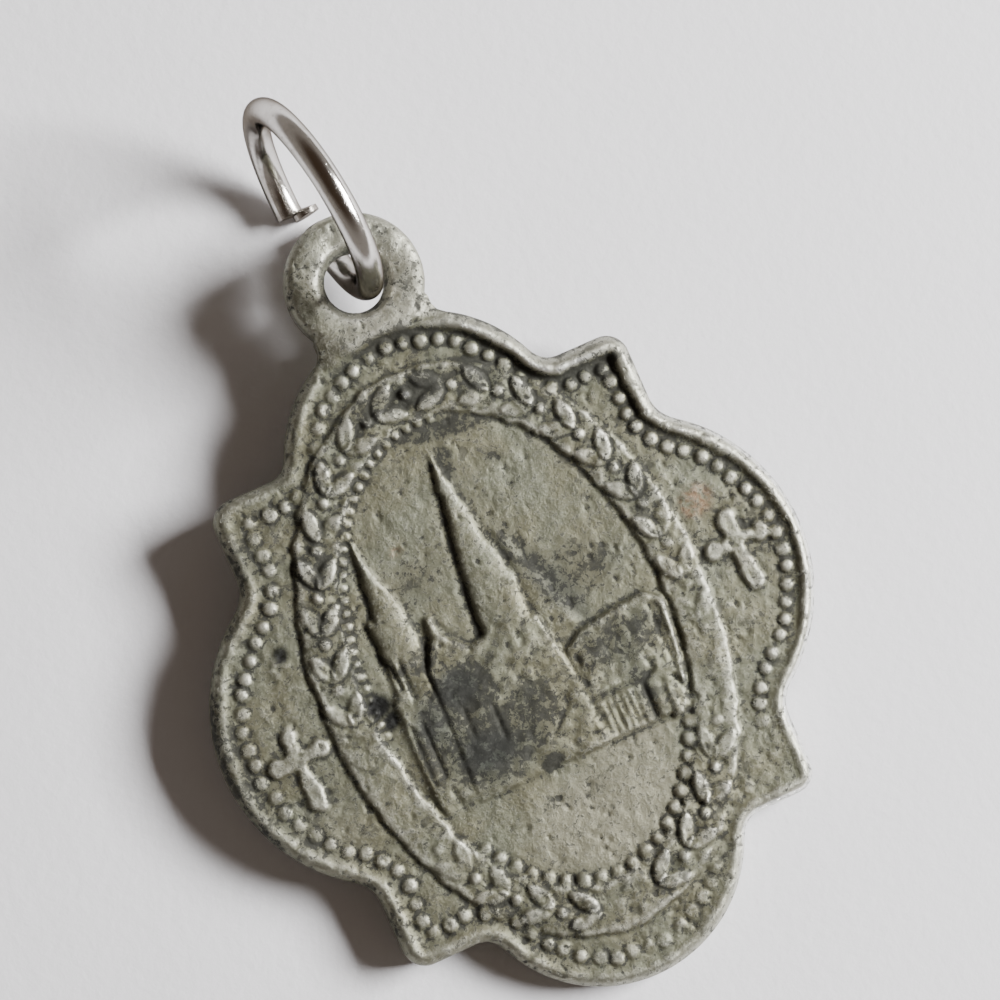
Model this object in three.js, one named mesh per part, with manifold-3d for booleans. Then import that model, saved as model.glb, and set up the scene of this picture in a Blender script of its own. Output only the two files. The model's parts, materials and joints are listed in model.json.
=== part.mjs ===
// A worn religious medal with an open jump ring through its eyelet, in millimetres, +Z up.
// It lies face up, with the eyelet end propped on the wire of the ring.
// The medal's own frame has its centre at the origin, its flat back at z = 0 and +Y towards the eyelet.

import * as THREE from 'three';
import { mergeVertices } from 'three/addons/utils/BufferGeometryUtils.js';
import Module from 'manifold-3d';

const wasm = await Module();
wasm.setup();

// outline of the medal: four round lobes over a rectangle with rounded corners
const SIDE_LOBE_REACH = 11.43;
const SIDE_LOBE_RADIUS = 6.43;
const END_LOBE_REACH = 12.82;
const END_LOBE_RADIUS = 5.25;
const TIP_HALF_WIDTH = 8.16;
const TIP_HALF_HEIGHT = 9.05;
const TIP_CORNER_RADIUS = 0.85;
const NOTCH_BLEND = 0.65;

// thicknesses, all from the back
const FIELD_HEIGHT = 1.15;
const RIM_RISE = 0.5;
const BAND_RISE = 0.26;
const BACK_BEVEL = 0.22;

// rim
const RIM_WIDTH = 0.72;
const RIM_ROUND = 0.22;

// beads inside the rim
const BEAD_RADIUS = 0.27;
const BEAD_RISE = 0.28;
const BEAD_PITCH = 0.65;
const BEAD_GAP = 0.1;

// oval band and the small beads along its inner edge
const BAND_HALF_WIDTH = 7.4;
const BAND_HALF_HEIGHT = 10.85;
const BAND_SIDE_WIDTH = 1.7;
const BAND_END_WIDTH = 1.95;
const BAND_BEVEL = 0.12;
const SMALL_BEAD_RADIUS = 0.2;
const SMALL_BEAD_RISE = 0.12;
const SMALL_BEAD_PITCH = 0.62;

// leaves on the band
const LEAF_LENGTH = 1.06;
const LEAF_WIDTH = 0.44;
const LEAF_RISE = 0.16;
const LEAF_PITCH = 1.7;
const LEAF_SPREAD = 30;
const LEAF_OFFSET = 0.33;

// church and crosses
const CHURCH_WIDTH = 11.8;
const CHURCH_HEIGHT = 13.2;
const CHURCH_BASE = -4.6;
const CHURCH_RISE = 0.34;
const CROSS_WIDTH = 1.95;
const CROSS_HEIGHT = 3.0;
const CROSS_STROKE = 0.5;
const CROSS_RISE = 0.24;
const CROSS_INSET = 2.65;

// eyelet
const EYELET_RADIUS = 2.54;
const EYELET_RISE = 1.54;
const EYELET_THICKNESS = 1.45;
const EYELET_DROP = 0.06;
const EYELET_ROUND = 0.24;
const NECK_HALF_WIDTH = 2.2;
const NECK_FLARE = 0.55;
const NECK_STEP = 0.03;
const HOLE_PLAY = 0.58;
const FACE_CHAMFER = 0.3;
const UNDER_CHAMFER = 0.45;

// jump ring
const RING_RADIUS = 3.65;
const WIRE_RADIUS = 0.5;
const RING_GAP = 0.5;
const RING_TWIST = 0.5;
const RING_GAP_ANGLE = 96;
const RING_LEAN = 4;
const RING_TURN = 8.5;
const RING_CLEARANCE = 0.2;
const RING_SLACK_USED = 0.15;

// how finely round forms are cut
const OUTLINE_POINTS = 132;
const FINE_POINTS = 900;
const OVAL_POINTS = 80;
const BEAD_SIDES = 10;
const LEAF_SIDES = 4;
const SPIRE_SIDES = 8;
const EYELET_SIDES = 36;
const WIRE_SIDES = 12;
const RING_STEPS = 30;
const SINK = 0.12;

// sizes worked out from the driving ones
const RIM_HEIGHT = FIELD_HEIGHT + RIM_RISE;
const BAND_HEIGHT = FIELD_HEIGHT + BAND_RISE;
const HOLE_RADIUS = WIRE_RADIUS + HOLE_PLAY;
const EYELET_Y = END_LOBE_REACH + EYELET_RISE;
const EYELET_TOP = RIM_HEIGHT - EYELET_DROP;
const EYELET_UNDER = Math.max(EYELET_TOP - EYELET_THICKNESS, 0);
const BEAD_ROW_INSET = RIM_WIDTH + BEAD_GAP + BEAD_RADIUS;

const radians = THREE.MathUtils.degToRad;

const castMetal = new THREE.MeshStandardMaterial({ color: 0x96948a, roughness: 0.55, metalness: 0.85 });
const ringMetal = new THREE.MeshStandardMaterial({ color: 0xc9c8c4, roughness: 0.25, metalness: 1 });

// the medal's outline

function smoothMin(a, b, blend) {
  const share = Math.max(blend - Math.abs(a - b), 0) / blend;
  return Math.min(a, b) - share * share * blend / 4;
}

// Signed distance to the outline, negative inside. The form is the same in all four quarters.
function outlineDistance(x, y) {
  const side = Math.hypot(Math.abs(x) - SIDE_LOBE_REACH + SIDE_LOBE_RADIUS, y) - SIDE_LOBE_RADIUS;
  const end = Math.hypot(x, Math.abs(y) - END_LOBE_REACH + END_LOBE_RADIUS) - END_LOBE_RADIUS;
  const overX = Math.abs(x) - TIP_HALF_WIDTH + TIP_CORNER_RADIUS;
  const overY = Math.abs(y) - TIP_HALF_HEIGHT + TIP_CORNER_RADIUS;
  const outside = Math.hypot(Math.max(overX, 0), Math.max(overY, 0));
  const tip = outside + Math.min(Math.max(overX, overY), 0) - TIP_CORNER_RADIUS;
  return smoothMin(smoothMin(side, tip, NOTCH_BLEND), end, NOTCH_BLEND);
}

// The outermost distance along a ray from the centre at which inside(x, y) first holds.
function reachAlong(angle, start, inside) {
  const step = 0.08;
  const halvings = 24;
  let high = start;
  while (high > step && !inside((high - step) * Math.cos(angle), (high - step) * Math.sin(angle))) {
    high -= step;
  }
  let low = high - step;
  for (let i = 0; i < halvings; i += 1) {
    const middle = (low + high) / 2;
    if (inside(middle * Math.cos(angle), middle * Math.sin(angle))) {
      low = middle;
    } else {
      high = middle;
    }
  }
  return (low + high) / 2;
}

const START = SIDE_LOBE_REACH + END_LOBE_REACH + TIP_HALF_WIDTH + TIP_HALF_HEIGHT;
const fineOutline = Array.from({ length: FINE_POINTS }, (_, i) => {
  const angle = i / FINE_POINTS * 2 * Math.PI;
  const reach = reachAlong(angle, START, (x, y) => outlineDistance(x, y) < 0);
  return { angle, x: reach * Math.cos(angle), y: reach * Math.sin(angle), reach };
});

// Angles at which the outline is cut: evenly spaced along it, and closer where it bends.
function outlineAngles(count) {
  const bendWeight = 1.1;
  const cost = fineOutline.map((p, i) => {
    const before = fineOutline.at(i - 1);
    const after = fineOutline[(i + 1) % FINE_POINTS];
    const into = Math.atan2(p.y - before.y, p.x - before.x);
    const out = Math.atan2(after.y - p.y, after.x - p.x);
    const bend = Math.abs(Math.atan2(Math.sin(out - into), Math.cos(out - into)));
    return Math.hypot(after.x - p.x, after.y - p.y) + bendWeight * bend;
  });
  const total = cost.reduce((sum, c) => sum + c, 0);
  const angles = [];
  let passed = 0;
  fineOutline.forEach((p, i) => {
    while (angles.length < count && angles.length / count * total < passed + cost[i]) {
      const share = (angles.length / count * total - passed) / cost[i];
      angles.push(p.angle + share * 2 * Math.PI / FINE_POINTS);
    }
    passed += cost[i];
  });
  return angles;
}

function distanceToOutline(x, y) {
  let best = Infinity;
  fineOutline.forEach((p, i) => {
    const q = fineOutline[(i + 1) % FINE_POINTS];
    const dx = q.x - p.x;
    const dy = q.y - p.y;
    const t = THREE.MathUtils.clamp(((x - p.x) * dx + (y - p.y) * dy) / (dx * dx + dy * dy), 0, 1);
    best = Math.min(best, Math.hypot(x - p.x - t * dx, y - p.y - t * dy));
  });
  return best;
}

const cutAngles = outlineAngles(OUTLINE_POINTS);
const edgeReach = cutAngles.map((angle) => (
  reachAlong(angle, START, (x, y) => outlineDistance(x, y) < 0)
));

// The outline moved inwards by a distance, as points in the plane.
function insetOutline(inset) {
  return cutAngles.map((angle, i) => {
    const reach = inset === 0
      ? edgeReach[i]
      : reachAlong(angle, edgeReach[i], (x, y) => distanceToOutline(x, y) > inset);
    return new THREE.Vector2(reach * Math.cos(angle), reach * Math.sin(angle));
  });
}

// solids

function solidOf(geometry) {
  const bare = geometry.clone();
  bare.deleteAttribute('normal');
  bare.deleteAttribute('uv');
  const merged = mergeVertices(bare, 1e-5);
  const index = merged.index.array;
  const triVerts = [];
  for (let i = 0; i < index.length; i += 3) {
    const [a, b, c] = [index[i], index[i + 1], index[i + 2]];
    if (a !== b && b !== c && c !== a) {
      triVerts.push(a, b, c);
    }
  }
  return new wasm.Manifold(new wasm.Mesh({
    numProp: 3,
    vertProperties: new Float32Array(merged.attributes.position.array),
    triVerts: new Uint32Array(triVerts),
  }));
}

// Joins solids two by two, so that each join stays small.
function joinAll(solids) {
  let layer = solids;
  while (layer.length > 1) {
    const next = [];
    for (let i = 0; i < layer.length; i += 2) {
      next.push(i + 1 < layer.length ? layer[i].add(layer[i + 1]) : layer[i]);
    }
    layer = next;
  }
  return layer[0];
}

function geometryOf(solid) {
  const { vertProperties, triVerts } = solid.getMesh();
  const geometry = new THREE.BufferGeometry();
  geometry.setAttribute('position', new THREE.BufferAttribute(new Float32Array(vertProperties), 3));
  geometry.setIndex(new THREE.BufferAttribute(new Uint32Array(triVerts), 1));
  geometry.computeVertexNormals();
  return geometry;
}

// A closed skin through level rings of equally many points, from the lowest ring to the last.
function solidThroughRings(rings) {
  const count = rings[0].points.length;
  const positions = rings.flatMap(({ points, height }) => points.flatMap((p) => [p.x, p.y, height]));
  const index = [];
  for (let r = 0; r + 1 < rings.length; r += 1) {
    for (let i = 0; i < count; i += 1) {
      const j = (i + 1) % count;
      const [a, b, c, d] = [r * count + i, r * count + j, (r + 1) * count + i, (r + 1) * count + j];
      index.push(a, b, d, a, d, c);
    }
  }
  const first = positions.length / 3;
  positions.push(0, 0, rings[0].height, 0, 0, rings.at(-1).height);
  const lastRing = (rings.length - 1) * count;
  for (let i = 0; i < count; i += 1) {
    const j = (i + 1) % count;
    index.push(first, j, i, first + 1, lastRing + i, lastRing + j);
  }
  const geometry = new THREE.BufferGeometry();
  geometry.setAttribute('position', new THREE.BufferAttribute(new Float32Array(positions), 3));
  geometry.setIndex(index);
  return solidOf(geometry);
}

// A solid of revolution about Z from a profile of [radius, height] pairs that starts and ends on the axis.
function turned(profile, sides) {
  const points = profile.map(([radius, height]) => new THREE.Vector2(radius, height));
  return solidOf(new THREE.LatheGeometry(points, sides).rotateX(Math.PI / 2));
}

function prism(points, low, high) {
  const shape = new THREE.Shape(points.map(([x, y]) => new THREE.Vector2(x, y)));
  const geometry = new THREE.ExtrudeGeometry(shape, { depth: high - low, bevelEnabled: false });
  return solidOf(geometry.translate(0, 0, low));
}

function slab({ left, right, bottom, top, low, high }) {
  return prism([[left, bottom], [right, bottom], [right, top], [left, top]], low, high);
}

// the medal's parts

function plateWithRim() {
  const table = [
    { inset: BACK_BEVEL, height: 0 },
    { inset: 0, height: BACK_BEVEL },
    { inset: 0, height: RIM_HEIGHT - RIM_ROUND },
    { inset: RIM_ROUND, height: RIM_HEIGHT },
    { inset: RIM_WIDTH - RIM_ROUND, height: RIM_HEIGHT },
    { inset: RIM_WIDTH, height: FIELD_HEIGHT },
  ];
  return solidThroughRings(table.map(({ inset, height }) => ({ points: insetOutline(inset), height })));
}

const BEAD_FOOT = 1.12;

function beadShape(radius, rise) {
  const crown = 0.55;
  return turned([
    [0, -SINK],
    [BEAD_FOOT * radius, -SINK],
    [crown * radius, rise],
    [0, rise],
  ], BEAD_SIDES);
}

// Points a whole number of even steps apart along a closed line, with the line's direction at each.
function evenPoints(line, pitch) {
  const closed = [...line, line[0]];
  const lengths = closed.slice(1).map((p, i) => p.distanceTo(closed[i]));
  const total = lengths.reduce((sum, length) => sum + length, 0);
  const count = Math.round(total / pitch);
  return Array.from({ length: count }, (_, k) => {
    let left = k / count * total;
    let i = 0;
    while (left > lengths[i]) {
      left -= lengths[i];
      i += 1;
    }
    const point = closed[i].clone().lerp(closed[i + 1], left / lengths[i]);
    const direction = closed[i + 1].clone().sub(closed[i]).angle();
    return { point, direction };
  });
}

function rimBeads() {
  const bead = beadShape(BEAD_RADIUS, BEAD_RISE);
  return evenPoints(insetOutline(BEAD_ROW_INSET), BEAD_PITCH)
    .map(({ point }) => bead.translate([point.x, point.y, FIELD_HEIGHT]));
}

function ovalLine(halfWidth, halfHeight, count = OVAL_POINTS) {
  return Array.from({ length: count }, (_, i) => {
    const angle = (i / count - 0.25) * 2 * Math.PI;
    return new THREE.Vector2(halfWidth * Math.cos(angle), halfHeight * Math.sin(angle));
  });
}

// The oval a distance in from the band's outer edge, given as a share of the band's width.
function bandLine(share, extra = 0) {
  return ovalLine(
    BAND_HALF_WIDTH - share * BAND_SIDE_WIDTH - extra,
    BAND_HALF_HEIGHT - share * BAND_END_WIDTH - extra,
  );
}

function ovalBand() {
  const low = FIELD_HEIGHT - SINK;
  const outer = solidThroughRings([
    { points: bandLine(0), height: low },
    { points: bandLine(0), height: BAND_HEIGHT - BAND_BEVEL },
    { points: bandLine(0, BAND_BEVEL), height: BAND_HEIGHT },
  ]);
  const inner = solidThroughRings([
    { points: bandLine(1), height: low - SINK },
    { points: bandLine(1), height: BAND_HEIGHT - BAND_BEVEL },
    { points: bandLine(1, -BAND_BEVEL), height: BAND_HEIGHT },
    { points: bandLine(1, -BAND_BEVEL), height: BAND_HEIGHT + SINK },
  ]);
  return outer.subtract(inner);
}

// Stretches of the band's inner edge, in degrees from +X, that have kept their small beads.
const KEPT_BEADS = [
  { name: 'upper left', from: 95, to: 188 },
  { name: 'foot', from: 238, to: 318 },
];

function innerBeads() {
  const bead = beadShape(SMALL_BEAD_RADIUS, SMALL_BEAD_RISE + BAND_RISE);
  return evenPoints(bandLine(1, BEAD_FOOT * SMALL_BEAD_RADIUS), SMALL_BEAD_PITCH)
    .filter(({ point }) => {
      const bearing = THREE.MathUtils.radToDeg(point.angle());
      return KEPT_BEADS.some(({ from, to }) => bearing > from && bearing < to);
    })
    .map(({ point }) => bead.translate([point.x, point.y, FIELD_HEIGHT]));
}

// A pointed leaf: a low pyramid on a long diamond.
function leafShape() {
  const height = LEAF_RISE + SINK;
  const spread = height / LEAF_RISE;
  const cone = new THREE.ConeGeometry(spread, height, LEAF_SIDES).rotateX(Math.PI / 2);
  cone.scale(LEAF_LENGTH / 2, LEAF_WIDTH / 2, 1);
  return solidOf(cone.translate(0, 0, height / 2 - SINK));
}

// Two leaves, one each side of the band's middle line, climb from the foot to the top on both sides.
function leafPairs() {
  const leaf = leafShape();
  return evenPoints(bandLine(0.5), LEAF_PITCH).slice(1).flatMap(({ point, direction }) => {
    const climb = point.x > 0 ? direction : direction + Math.PI;
    return [-1, 1].map((side) => {
      const normal = climb + side * Math.PI / 2;
      return leaf
        .rotate([0, 0, THREE.MathUtils.radToDeg(climb) + side * LEAF_SPREAD])
        .translate([
          point.x + LEAF_OFFSET * Math.cos(normal),
          point.y + LEAF_OFFSET * Math.sin(normal),
          BAND_HEIGHT,
        ]);
    });
  });
}

// Church walls and roofs: x as a share of the church's width, y and the rise as shares of its own.
const CHURCH_BLOCKS = [
  { name: 'ground', points: [[-0.49, -0.025], [0.53, -0.025], [0.53, 0.01], [-0.49, 0.01]], rise: 0.35 },
  { name: 'left tower', points: [[-0.41, -0.012], [-0.25, -0.012], [-0.26, 0.49], [-0.4, 0.49]], rise: 0.75 },
  {
    name: 'front',
    points: [[-0.28, 0], [0.05, 0], [0.05, 0.41], [-0.12, 0.39], [-0.19, 0.46], [-0.28, 0.46]],
    rise: 0.62,
  },
  { name: 'main tower', points: [[-0.09, -0.016], [0.14, -0.016], [0.085, 0.48], [-0.085, 0.48]], rise: 0.9 },
  { name: 'nave wall', points: [[0.05, -0.008], [0.51, -0.008], [0.51, 0.3], [0.05, 0.3]], rise: 0.5 },
  { name: 'nave roof', points: [[0.07, 0.29], [0.52, 0.29], [0.44, 0.36], [0.07, 0.34]], rise: 0.62 },
  { name: 'porch', points: [[0.39, -0.02], [0.525, -0.02], [0.525, 0.1], [0.39, 0.1]], rise: 0.72 },
];

// Spires are cones laid on the field: the middle, foot and tip as shares of the church's sizes.
const CHURCH_SPIRES = [
  { name: 'main spire', middle: 0, halfWidth: 0.085, foot: 0.47, tip: 0.9, rise: 1 },
  { name: 'main finial', middle: 0, halfWidth: 0.02, foot: 0.84, tip: 1, rise: 0.5 },
  { name: 'left spire', middle: -0.33, halfWidth: 0.072, foot: 0.47, tip: 0.83, rise: 0.8 },
  { name: 'pinnacle', middle: -0.22, halfWidth: 0.022, foot: 0.45, tip: 0.55, rise: 0.65 },
];

// Windows and doors are cut into the walls down to a share of the church's rise.
const CHURCH_OPENINGS = [
  { name: 'belfry', x: -0.355, y: 0.405, width: 0.03, height: 0.07, floor: 0.35 },
  { name: 'belfry', x: -0.305, y: 0.405, width: 0.03, height: 0.07, floor: 0.35 },
  { name: 'tower window', x: -0.33, y: 0.17, width: 0.035, height: 0.12, floor: 0.4 },
  { name: 'front window', x: -0.17, y: 0.2, width: 0.05, height: 0.1, floor: 0.3 },
  { name: 'nave window', x: 0.2, y: 0.2, width: 0.04, height: 0.06, floor: 0.15 },
  { name: 'nave window', x: 0.3, y: 0.2, width: 0.04, height: 0.06, floor: 0.15 },
  { name: 'door', x: 0.33, y: 0.05, width: 0.05, height: 0.09, floor: 0.15 },
];

function churchX(share) {
  return share * CHURCH_WIDTH;
}

function churchY(share) {
  return CHURCH_BASE + share * CHURCH_HEIGHT;
}

function church() {
  const low = FIELD_HEIGHT - SINK;
  const blocks = CHURCH_BLOCKS.map(({ points, rise }) => prism(
    points.map(([x, y]) => [churchX(x), churchY(y)]),
    low,
    FIELD_HEIGHT + rise * CHURCH_RISE,
  ));
  const spires = CHURCH_SPIRES.map(({ middle, halfWidth, foot, tip, rise }) => {
    const length = churchY(tip) - churchY(foot);
    const cone = new THREE.ConeGeometry(churchX(halfWidth), length, SPIRE_SIDES);
    cone.scale(1, 1, rise * CHURCH_RISE / churchX(halfWidth));
    return solidOf(cone.translate(churchX(middle), churchY(foot) + length / 2, FIELD_HEIGHT));
  });
  const openings = CHURCH_OPENINGS.map(({ x, y, width, height, floor }) => slab({
    left: churchX(x - width / 2),
    right: churchX(x + width / 2),
    bottom: churchY(y - height / 2),
    top: churchY(y + height / 2),
    low: FIELD_HEIGHT + floor * CHURCH_RISE,
    high: FIELD_HEIGHT + 2 * CHURCH_RISE,
  }));
  return joinAll([...blocks, ...spires]).subtract(joinAll(openings));
}

// A Latin cross whose arms widen to their ends.
function crossShape() {
  const flare = 1.45;
  const armHeight = 0.62;
  const inner = CROSS_STROKE / 2;
  const outer = inner * flare;
  const top = CROSS_HEIGHT * (1 - armHeight);
  const foot = CROSS_HEIGHT * armHeight;
  const arm = CROSS_WIDTH / 2;
  return prism([
    [-outer, -foot], [outer, -foot], [inner, -inner], [arm, -outer], [arm, outer], [inner, inner],
    [outer, top], [-outer, top], [-inner, inner], [-arm, outer], [-arm, -outer], [-inner, -inner],
  ], FIELD_HEIGHT - SINK, FIELD_HEIGHT + CROSS_RISE);
}

function crosses() {
  const leftDrop = -0.45;
  const rightLift = 0.3;
  const x = SIDE_LOBE_REACH - CROSS_INSET;
  return [
    crossShape().translate([-x, leftDrop, 0]),
    crossShape().translate([x, rightLift, 0]),
  ];
}

function eyelet() {
  return turned([
    [0, EYELET_UNDER],
    [EYELET_RADIUS - EYELET_ROUND, EYELET_UNDER],
    [EYELET_RADIUS, EYELET_UNDER + EYELET_ROUND],
    [EYELET_RADIUS, EYELET_TOP - EYELET_ROUND],
    [EYELET_RADIUS - EYELET_ROUND, EYELET_TOP],
    [0, EYELET_TOP],
  ], EYELET_SIDES).translate([0, EYELET_Y, 0]);
}

// The neck fills the corners between the eyelet's disc and the top lobe.
function neck() {
  const lobeTop = (x) => (
    END_LOBE_REACH - END_LOBE_RADIUS + Math.sqrt(Math.max(END_LOBE_RADIUS ** 2 - x ** 2, 0))
  );
  const foot = NECK_HALF_WIDTH + NECK_FLARE;
  const tuck = 0.1 * RIM_WIDTH;
  const half = [
    [NECK_HALF_WIDTH, EYELET_Y],
    [NECK_HALF_WIDTH, lobeTop(foot) + NECK_FLARE],
    [foot, lobeTop(foot) - tuck],
    [NECK_HALF_WIDTH, lobeTop(NECK_HALF_WIDTH) - RIM_WIDTH],
  ];
  const mirrored = half.map(([x, y]) => [-x, y]).reverse();
  return prism([...mirrored, ...half], EYELET_UNDER + NECK_STEP, EYELET_TOP - NECK_STEP);
}

// The space above the field, up to the flat of the rim, which the eyelet and its neck leave free.
function fieldSpace() {
  const line = insetOutline(RIM_WIDTH - RIM_ROUND).map((p) => [p.x, p.y]);
  return prism(line, FIELD_HEIGHT - SINK, 2 * RIM_HEIGHT);
}

// The drilled hole with a chamfer on the face and a wider one underneath.
function eyeletHole() {
  const beyond = 0.5;
  return turned([
    [0, EYELET_UNDER - beyond],
    [HOLE_RADIUS + UNDER_CHAMFER + beyond, EYELET_UNDER - beyond],
    [HOLE_RADIUS, EYELET_UNDER + UNDER_CHAMFER],
    [HOLE_RADIUS, EYELET_TOP - FACE_CHAMFER],
    [HOLE_RADIUS + FACE_CHAMFER + beyond, EYELET_TOP + beyond],
    [0, EYELET_TOP + beyond],
  ], EYELET_SIDES).translate([0, EYELET_Y, 0]);
}

function medalSolid() {
  const relief = [
    ovalBand(),
    church(),
    ...crosses(),
    ...rimBeads(),
    ...innerBeads(),
    ...leafPairs(),
  ];
  const lug = eyelet().add(neck()).subtract(fieldSpace());
  return joinAll([plateWithRim(), lug, ...relief]).subtract(eyeletHole());
}

// how the ring and the medal lie

// Height of the eyelet's underside at which the wire clears the edge of the hole below it.
function eyeletLift() {
  const rounds = 40;
  const centre = RING_RADIUS * Math.cos(radians(RING_LEAN)) + WIRE_RADIUS;
  let lift = 2 * WIRE_RADIUS + RING_CLEARANCE;
  for (let i = 0; i < rounds; i += 1) {
    const drop = Math.max(centre - lift - EYELET_THICKNESS / 2, 0);
    const out = Math.sqrt(RING_RADIUS ** 2 - drop ** 2);
    const edge = out - HOLE_RADIUS - UNDER_CHAMFER;
    const wireTop = centre - Math.sqrt(Math.max((RING_RADIUS - WIRE_RADIUS) ** 2 - edge ** 2, 0));
    lift = (lift + wireTop + RING_CLEARANCE) / 2;
  }
  return lift;
}

const LIFT = eyeletLift();
const TILT = Math.asin((LIFT - EYELET_UNDER) / (EYELET_Y + END_LOBE_REACH - BACK_BEVEL));

// The ring's wire: an almost whole circle whose ends are pushed apart sideways.
class RingLine extends THREE.Curve {
  getPoint(t, target = new THREE.Vector3()) {
    const gapAngle = RING_GAP / RING_RADIUS;
    const angle = -radians(RING_GAP_ANGLE) + gapAngle / 2 + t * (2 * Math.PI - gapAngle);
    const side = RING_TWIST * (t - 0.5) * Math.abs(2 * t - 1) ** 2;
    return target.set(side, -RING_RADIUS * Math.cos(angle), RING_RADIUS * Math.sin(angle));
  }
}

function wireSection() {
  return new THREE.Shape(Array.from({ length: WIRE_SIDES }, (_, i) => {
    const angle = (i + 0.5) / WIRE_SIDES * 2 * Math.PI;
    return new THREE.Vector2(WIRE_RADIUS * Math.cos(angle), WIRE_RADIUS * Math.sin(angle));
  }));
}

function jumpRing() {
  const geometry = new THREE.ExtrudeGeometry(wireSection(), {
    extrudePath: new RingLine(),
    steps: RING_STEPS,
    bevelEnabled: false,
  });
  const mesh = new THREE.Mesh(geometryOf(solidOf(geometry)), ringMetal);
  mesh.name = 'jump_ring';
  return mesh;
}

// Stands the ring in the hole: its wire passes the middle of the hole at half the eyelet's thickness.
function placeRing(ring, holeCentre) {
  const lean = radians(RING_LEAN);
  const turn = radians(RING_TURN);
  const centreHeight = RING_RADIUS * Math.cos(lean) + WIRE_RADIUS;
  const drop = centreHeight - LIFT - EYELET_THICKNESS / 2;
  const back = Math.sqrt(RING_RADIUS ** 2 - drop ** 2) - RING_SLACK_USED;
  const aside = drop * Math.sin(lean);
  ring.rotation.set(0, lean, turn, 'ZYX');
  ring.position.set(
    holeCentre.x + aside * Math.cos(turn) - back * Math.sin(turn),
    holeCentre.y + aside * Math.sin(turn) + back * Math.cos(turn),
    centreHeight,
  );
  return ring;
}

function build() {
  const medal = new THREE.Mesh(geometryOf(medalSolid()), castMetal);
  medal.name = 'medal';
  const lying = new THREE.Group();
  lying.rotation.x = TILT;
  medal.position.y = END_LOBE_REACH - BACK_BEVEL;
  lying.add(medal);

  const holeCentre = new THREE.Vector3(0, EYELET_Y + END_LOBE_REACH - BACK_BEVEL, EYELET_UNDER);
  holeCentre.applyAxisAngle(new THREE.Vector3(1, 0, 0), TILT);
  const ring = placeRing(jumpRing(), holeCentre);

  const pendant = new THREE.Group();
  pendant.add(lying, ring);
  pendant.updateMatrixWorld(true);
  const box = new THREE.Box3().setFromObject(pendant, true);
  const centre = box.getCenter(new THREE.Vector3());
  pendant.position.set(-centre.x, -centre.y, -box.min.z);

  const model = new THREE.Group();
  model.add(pendant);
  return model;
}

export default build();
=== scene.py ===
"""A worn religious medal and its jump ring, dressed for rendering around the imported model.

The medal is shaped in millimetres in its own frame, with x to the right, y towards the eyelet and z up
from the flat back, and is then placed in the row frame in metres. Its face is one height map, worked
out from the named sizes below, that moves the vertices of an evenly meshed casting.
"""

from __future__ import annotations

import json
import logging
import math
from dataclasses import dataclass, field
from enum import Enum

import bpy
import numpy as np
from mathutils import Euler, Matrix, Vector

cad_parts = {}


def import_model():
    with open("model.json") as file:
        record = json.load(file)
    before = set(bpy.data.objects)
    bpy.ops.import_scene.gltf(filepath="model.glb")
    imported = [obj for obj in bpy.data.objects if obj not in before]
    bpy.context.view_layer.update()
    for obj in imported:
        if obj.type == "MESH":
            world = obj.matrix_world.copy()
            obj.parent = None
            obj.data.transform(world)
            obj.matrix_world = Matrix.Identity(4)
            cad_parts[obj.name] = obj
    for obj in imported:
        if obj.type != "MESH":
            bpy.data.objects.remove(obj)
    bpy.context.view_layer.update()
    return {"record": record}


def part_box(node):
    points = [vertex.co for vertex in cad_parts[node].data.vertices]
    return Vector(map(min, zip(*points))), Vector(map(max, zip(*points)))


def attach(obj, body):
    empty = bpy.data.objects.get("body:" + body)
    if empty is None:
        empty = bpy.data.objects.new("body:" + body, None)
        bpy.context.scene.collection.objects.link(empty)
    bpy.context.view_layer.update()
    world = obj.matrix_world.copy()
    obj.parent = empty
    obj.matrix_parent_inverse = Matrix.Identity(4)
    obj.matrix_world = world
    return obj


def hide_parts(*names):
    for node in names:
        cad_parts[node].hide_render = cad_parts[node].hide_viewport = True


log = logging.getLogger("medal")

Array = np.ndarray
Point = tuple[float, float]
Triple = tuple[float, float, float]
Colour = tuple[float, float, float, float]
Part = tuple[slice, slice]

MM = 0.001
FULL_TURN = 2 * math.pi


class Slot(str, Enum):
    """The record's material slots."""

    CAST_METAL = "cast_metal"
    RING_WIRE = "ring_wire"


# plain maths on arrays


def smooth_step(value: Array, low: float | Array, high: float | Array) -> Array:
    """Eases from 0 at low to 1 at high.

    Args:
        value: What is measured.
        low: Where the rise starts.
        high: Where it ends.

    Returns:
        The eased share, from 0 to 1.
    """
    share = np.clip((value - low) / (high - low), 0, 1)
    return share * share * (3 - 2 * share)


def soft_max(first: Array, second: Array, blend: float) -> Array:
    """The larger of two heights, with a fillet where they meet.

    Args:
        first: One height.
        second: The other height.
        blend: Height difference below which they melt together.

    Returns:
        The joined height.
    """
    share = np.clip(blend - np.abs(first - second), 0, None) / blend
    return np.maximum(first, second) + share * share * blend / 4


def bell(distance: Array, width: float) -> Array:
    """A smooth hump that is 1 at no distance and fades over a width."""
    return np.exp(-((distance / width) ** 2))


def line_distance(x: Array, y: Array, points: list[Point]) -> Array:
    """Distance to an open line.

    Args:
        x: Where to measure, across.
        y: Where to measure, along.
        points: The line's corners.

    Returns:
        The distance to the nearest point of the line.
    """
    nearest = np.full(x.shape, np.inf)
    for (ax, ay), (bx, by) in zip(points, points[1:]):
        dx, dy = bx - ax, by - ay
        share = np.clip(((x - ax) * dx + (y - ay) * dy) / (dx * dx + dy * dy), 0, 1)
        nearest = np.minimum(nearest, np.hypot(x - ax - share * dx, y - ay - share * dy))
    return nearest


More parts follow.
